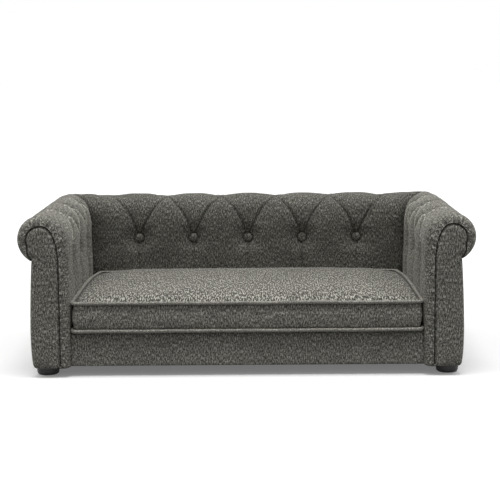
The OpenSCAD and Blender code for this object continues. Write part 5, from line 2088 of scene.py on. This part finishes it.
@dataclass(frozen=True)
class Studio:
    """A white sweep, soft light from above and the photograph's camera."""

    place: tuple[float, float, float] = (0.0184, -3.053, 0.6322)
    pitch: float = 7.754
    yaw: float = 0.238
    roll: float = -0.435
    lens: float = 103.32
    sensor: float = 36.0
    lamps: tuple[Lamp, ...] = (
        Lamp("overhead", 80.0, 0.0, 1.35),
        Lamp("from_left", 57.0, -80.0, 0.5),
        Lamp("from_right", 57.0, 80.0, 0.5),
    )
    softness: float = 28.0
    sky: float = 0.35
    floor_reach: float = 60.0
    floor_seen: float = 0.99
    floor_bounce: float = 0.2
    floor_lift: float = 0.16

    def camera(self) -> None:
        """Sets the camera at the photograph's viewing angle."""
        data = bpy.data.cameras.new("camera")
        data.lens = self.lens
        data.sensor_width = self.sensor
        data.clip_end = self.floor_reach / 2
        made = bpy.data.objects.new("camera", data)
        turn = (
            Matrix.Rotation(math.radians(self.yaw), 4, "Z")
            @ Matrix.Rotation(math.radians(90 - self.pitch), 4, "X")
            @ Matrix.Rotation(math.radians(self.roll), 4, "Z")
        )
        made.matrix_world = Matrix.Translation(self.place) @ turn
        bpy.context.scene.collection.objects.link(made)
        bpy.context.scene.camera = made

    def lights(self) -> None:
        """Adds the lamps and the world, which lights the sofa evenly and looks white."""
        for lamp in self.lamps:
            data = bpy.data.lights.new(lamp.name, "SUN")
            data.energy = lamp.strength
            data.angle = math.radians(self.softness)
            made = bpy.data.objects.new(lamp.name, data)
            made.rotation_euler = (math.radians(90 - lamp.height), 0.0, math.radians(lamp.turn))
            bpy.context.scene.collection.objects.link(made)
        world = bpy.data.worlds.new("studio")
        world.use_nodes = True
        tree = world.node_tree
        tree.nodes.clear()
        plain = (1.0, 1.0, 1.0, 1.0)
        soft = add_node(tree, "ShaderNodeBackground", inputs={"Color": plain, "Strength": self.sky})
        white = add_node(tree, "ShaderNodeBackground", inputs={"Color": plain, "Strength": 1.0})
        both = add_node(
            tree,
            "ShaderNodeMixShader",
            inputs={0: self._seen(tree), 1: soft.outputs[0], 2: white.outputs[0]},
        )
        add_node(tree, "ShaderNodeOutputWorld", inputs={"Surface": both.outputs[0]})
        bpy.context.scene.world = world
        bpy.context.scene.view_settings.view_transform = "Standard"

    def _seen(self, tree: bpy.types.NodeTree) -> bpy.types.NodeSocket:
        """One where the camera looks, also by way of metal or glass, and zero for other light."""
        path = add_node(tree, "ShaderNodeLightPath")
        direct = add_node(
            tree,
            "ShaderNodeMath",
            {"operation": "MAXIMUM"},
            {0: path.outputs["Is Camera Ray"], 1: path.outputs["Is Glossy Ray"]},
        )
        return add_node(
            tree,
            "ShaderNodeMath",
            {"operation": "MAXIMUM"},
            {0: direct.outputs[0], 1: path.outputs["Is Transmission Ray"]},
        ).outputs[0]

    def floor(self) -> None:
        """Adds the pale floor, which keeps the sofa's shadow and is lifted to white elsewhere."""
        material, tree = blank_material("white_sweep")
        shown = self._seen(tree)
        bounce, seen = ((level, level, level, 1.0) for level in (self.floor_bounce, self.floor_seen))
        tone = add_node(tree, "ShaderNodeMix", {"data_type": "RGBA"}, {0: shown, 6: bounce, 7: seen})
        matt = add_node(tree, "ShaderNodeBsdfDiffuse", inputs={"Color": tone.outputs[2]})
        lift = add_node(tree, "ShaderNodeMath", {"operation": "MULTIPLY"}, {0: shown, 1: self.floor_lift})
        glow = add_node(tree, "ShaderNodeEmission", inputs={"Strength": lift.outputs[0]})
        both = add_node(tree, "ShaderNodeAddShader", inputs={0: matt.outputs[0], 1: glow.outputs[0]})
        add_node(tree, "ShaderNodeOutputMaterial", inputs={"Surface": both.outputs[0]})
        reach = self.floor_reach
        corners = [(-reach, -reach, 0), (reach, -reach, 0), (reach, reach, 0), (-reach, reach, 0)]
        data = bpy.data.meshes.new("studio_floor")
        data.from_pydata(corners, [], [(0, 1, 2, 3)])
        data.materials.append(material)
        made = bpy.data.objects.new("studio_floor", data)
        bpy.context.scene.collection.objects.link(made)


def finishes() -> dict[str, bpy.types.Material]:
    """Builds every material.

    Returns:
        The materials by the name that the sub-assemblies use.
    """
    kinds = {
        "cover": Chenille(),
        "arm": Chenille("arm_chenille", mottle=0.45),
        # The back's cloth is a darker copy of the cover's: painted shade on the tufted back and its buttons
        "back": Chenille("back_chenille", "#181816", "#3b3b36", "#5d5c56", "#a5a39a"),
        "cushion": Chenille("cushion_chenille", "#1f1f1d", "#53524b", "#84827b", "#d6d4ca"),
        # The piping's cloth is a lighter copy of the cushion's, on a finer grain: the lighter tone is a
        # painted highlight on the piping
        "bias": Chenille("bias_cut_chenille", "#33322f", "#6f6e67", "#96948c", "#d0cec4", 1.8, 4.0),
        # The top's cloth is a darker copy of the cushion's, with a coarser, sharper grain: the darker tone is
        # painted shade on the top
        "cushion_top": Chenille(
            "cushion_top_chenille",
            "#0b0b0a",
            "#272623",
            "#4b4a44",
            "#cac8be",
            yarn_mm=2.5,
            slub_mm=14.5,
            spread=0.085,
        ),
        "timber": Grained("planed_pine", "#d9bd8a", "#b8925c", (42.0, 42.0, 3.0), 0.6, 0.25, 5.0),
        "plywood": Grained("sanded_birch_plywood", "#cfb183", "#b39260", (55.0, 9.0, 1.6), 0.62, 0.15, 4.0),
        "hardboard": Grained("smooth_hardboard", "#7d5f41", "#694d33", (1.6, 1.6, 1.6), 0.55, 0.06),
        "foam": Grained("cut_polyurethane_foam", "#efe6c6", "#ddd0a4", (1.4, 1.4, 1.4), 0.95, 0.5),
        "nonwoven": Grained("black_spunbond_nonwoven", "#1b1b1c", "#2c2c2e", (1.1, 6.0, 1.1), 0.9, 0.12),
        "tape": Grained("black_woven_zip_tape", "#19191a", "#2b2b2c", (0.9, 2.4, 0.9), 0.85, 0.15),
        "steel": ZincSteel(),
        "plastic": MouldedPlastic(),
    }
    return {name: kind.make() for name, kind in kinds.items()}


def main() -> None:
    """Builds the sofa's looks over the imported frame."""
    logging.basicConfig(level=logging.INFO, format="%(message)s")
    section = ScrollSection()
    made = finishes()
    studio = Studio()
    studio.camera()
    studio.lights()
    studio.floor()
    for side in (Side.LEFT, Side.RIGHT):
        arm = TuftedArm(section, made["cover"], side=side, roll_cloth=made["arm"])
        arm.cover()
        arm.facing()
        arm.outer_cover()
    lower = replace(section, button_z=section.button_z - BACK_BUTTONS_LOWER)
    back = TuftedBack(lower, made["back"])
    back.cover()
    back.outer_cover(made["cover"])
    ButtonSet(section, made["cover"]).build({Side.LEFT: arm.buttons, Side.RIGHT: arm.buttons})
    # The back's buttons share the back's darker cloth and its painted shade
    ButtonSet(lower, made["back"]).build({Side.BACK: back.buttons})
    base = SeatBase(section, made["cushion"], dust=made["nonwoven"])
    base.rail_cover()
    base.deck_cloth()
    base.dust_cloth()
    cushion = BoxCushion(section, made["cushion"], top_cloth=made["cushion_top"], pipe_cloth=made["bias"])
    cushion.build()
    FoamBlocks(made["foam"], cushion).build()
    Frame(made).dress()


if __name__ == "__main__":
    main()
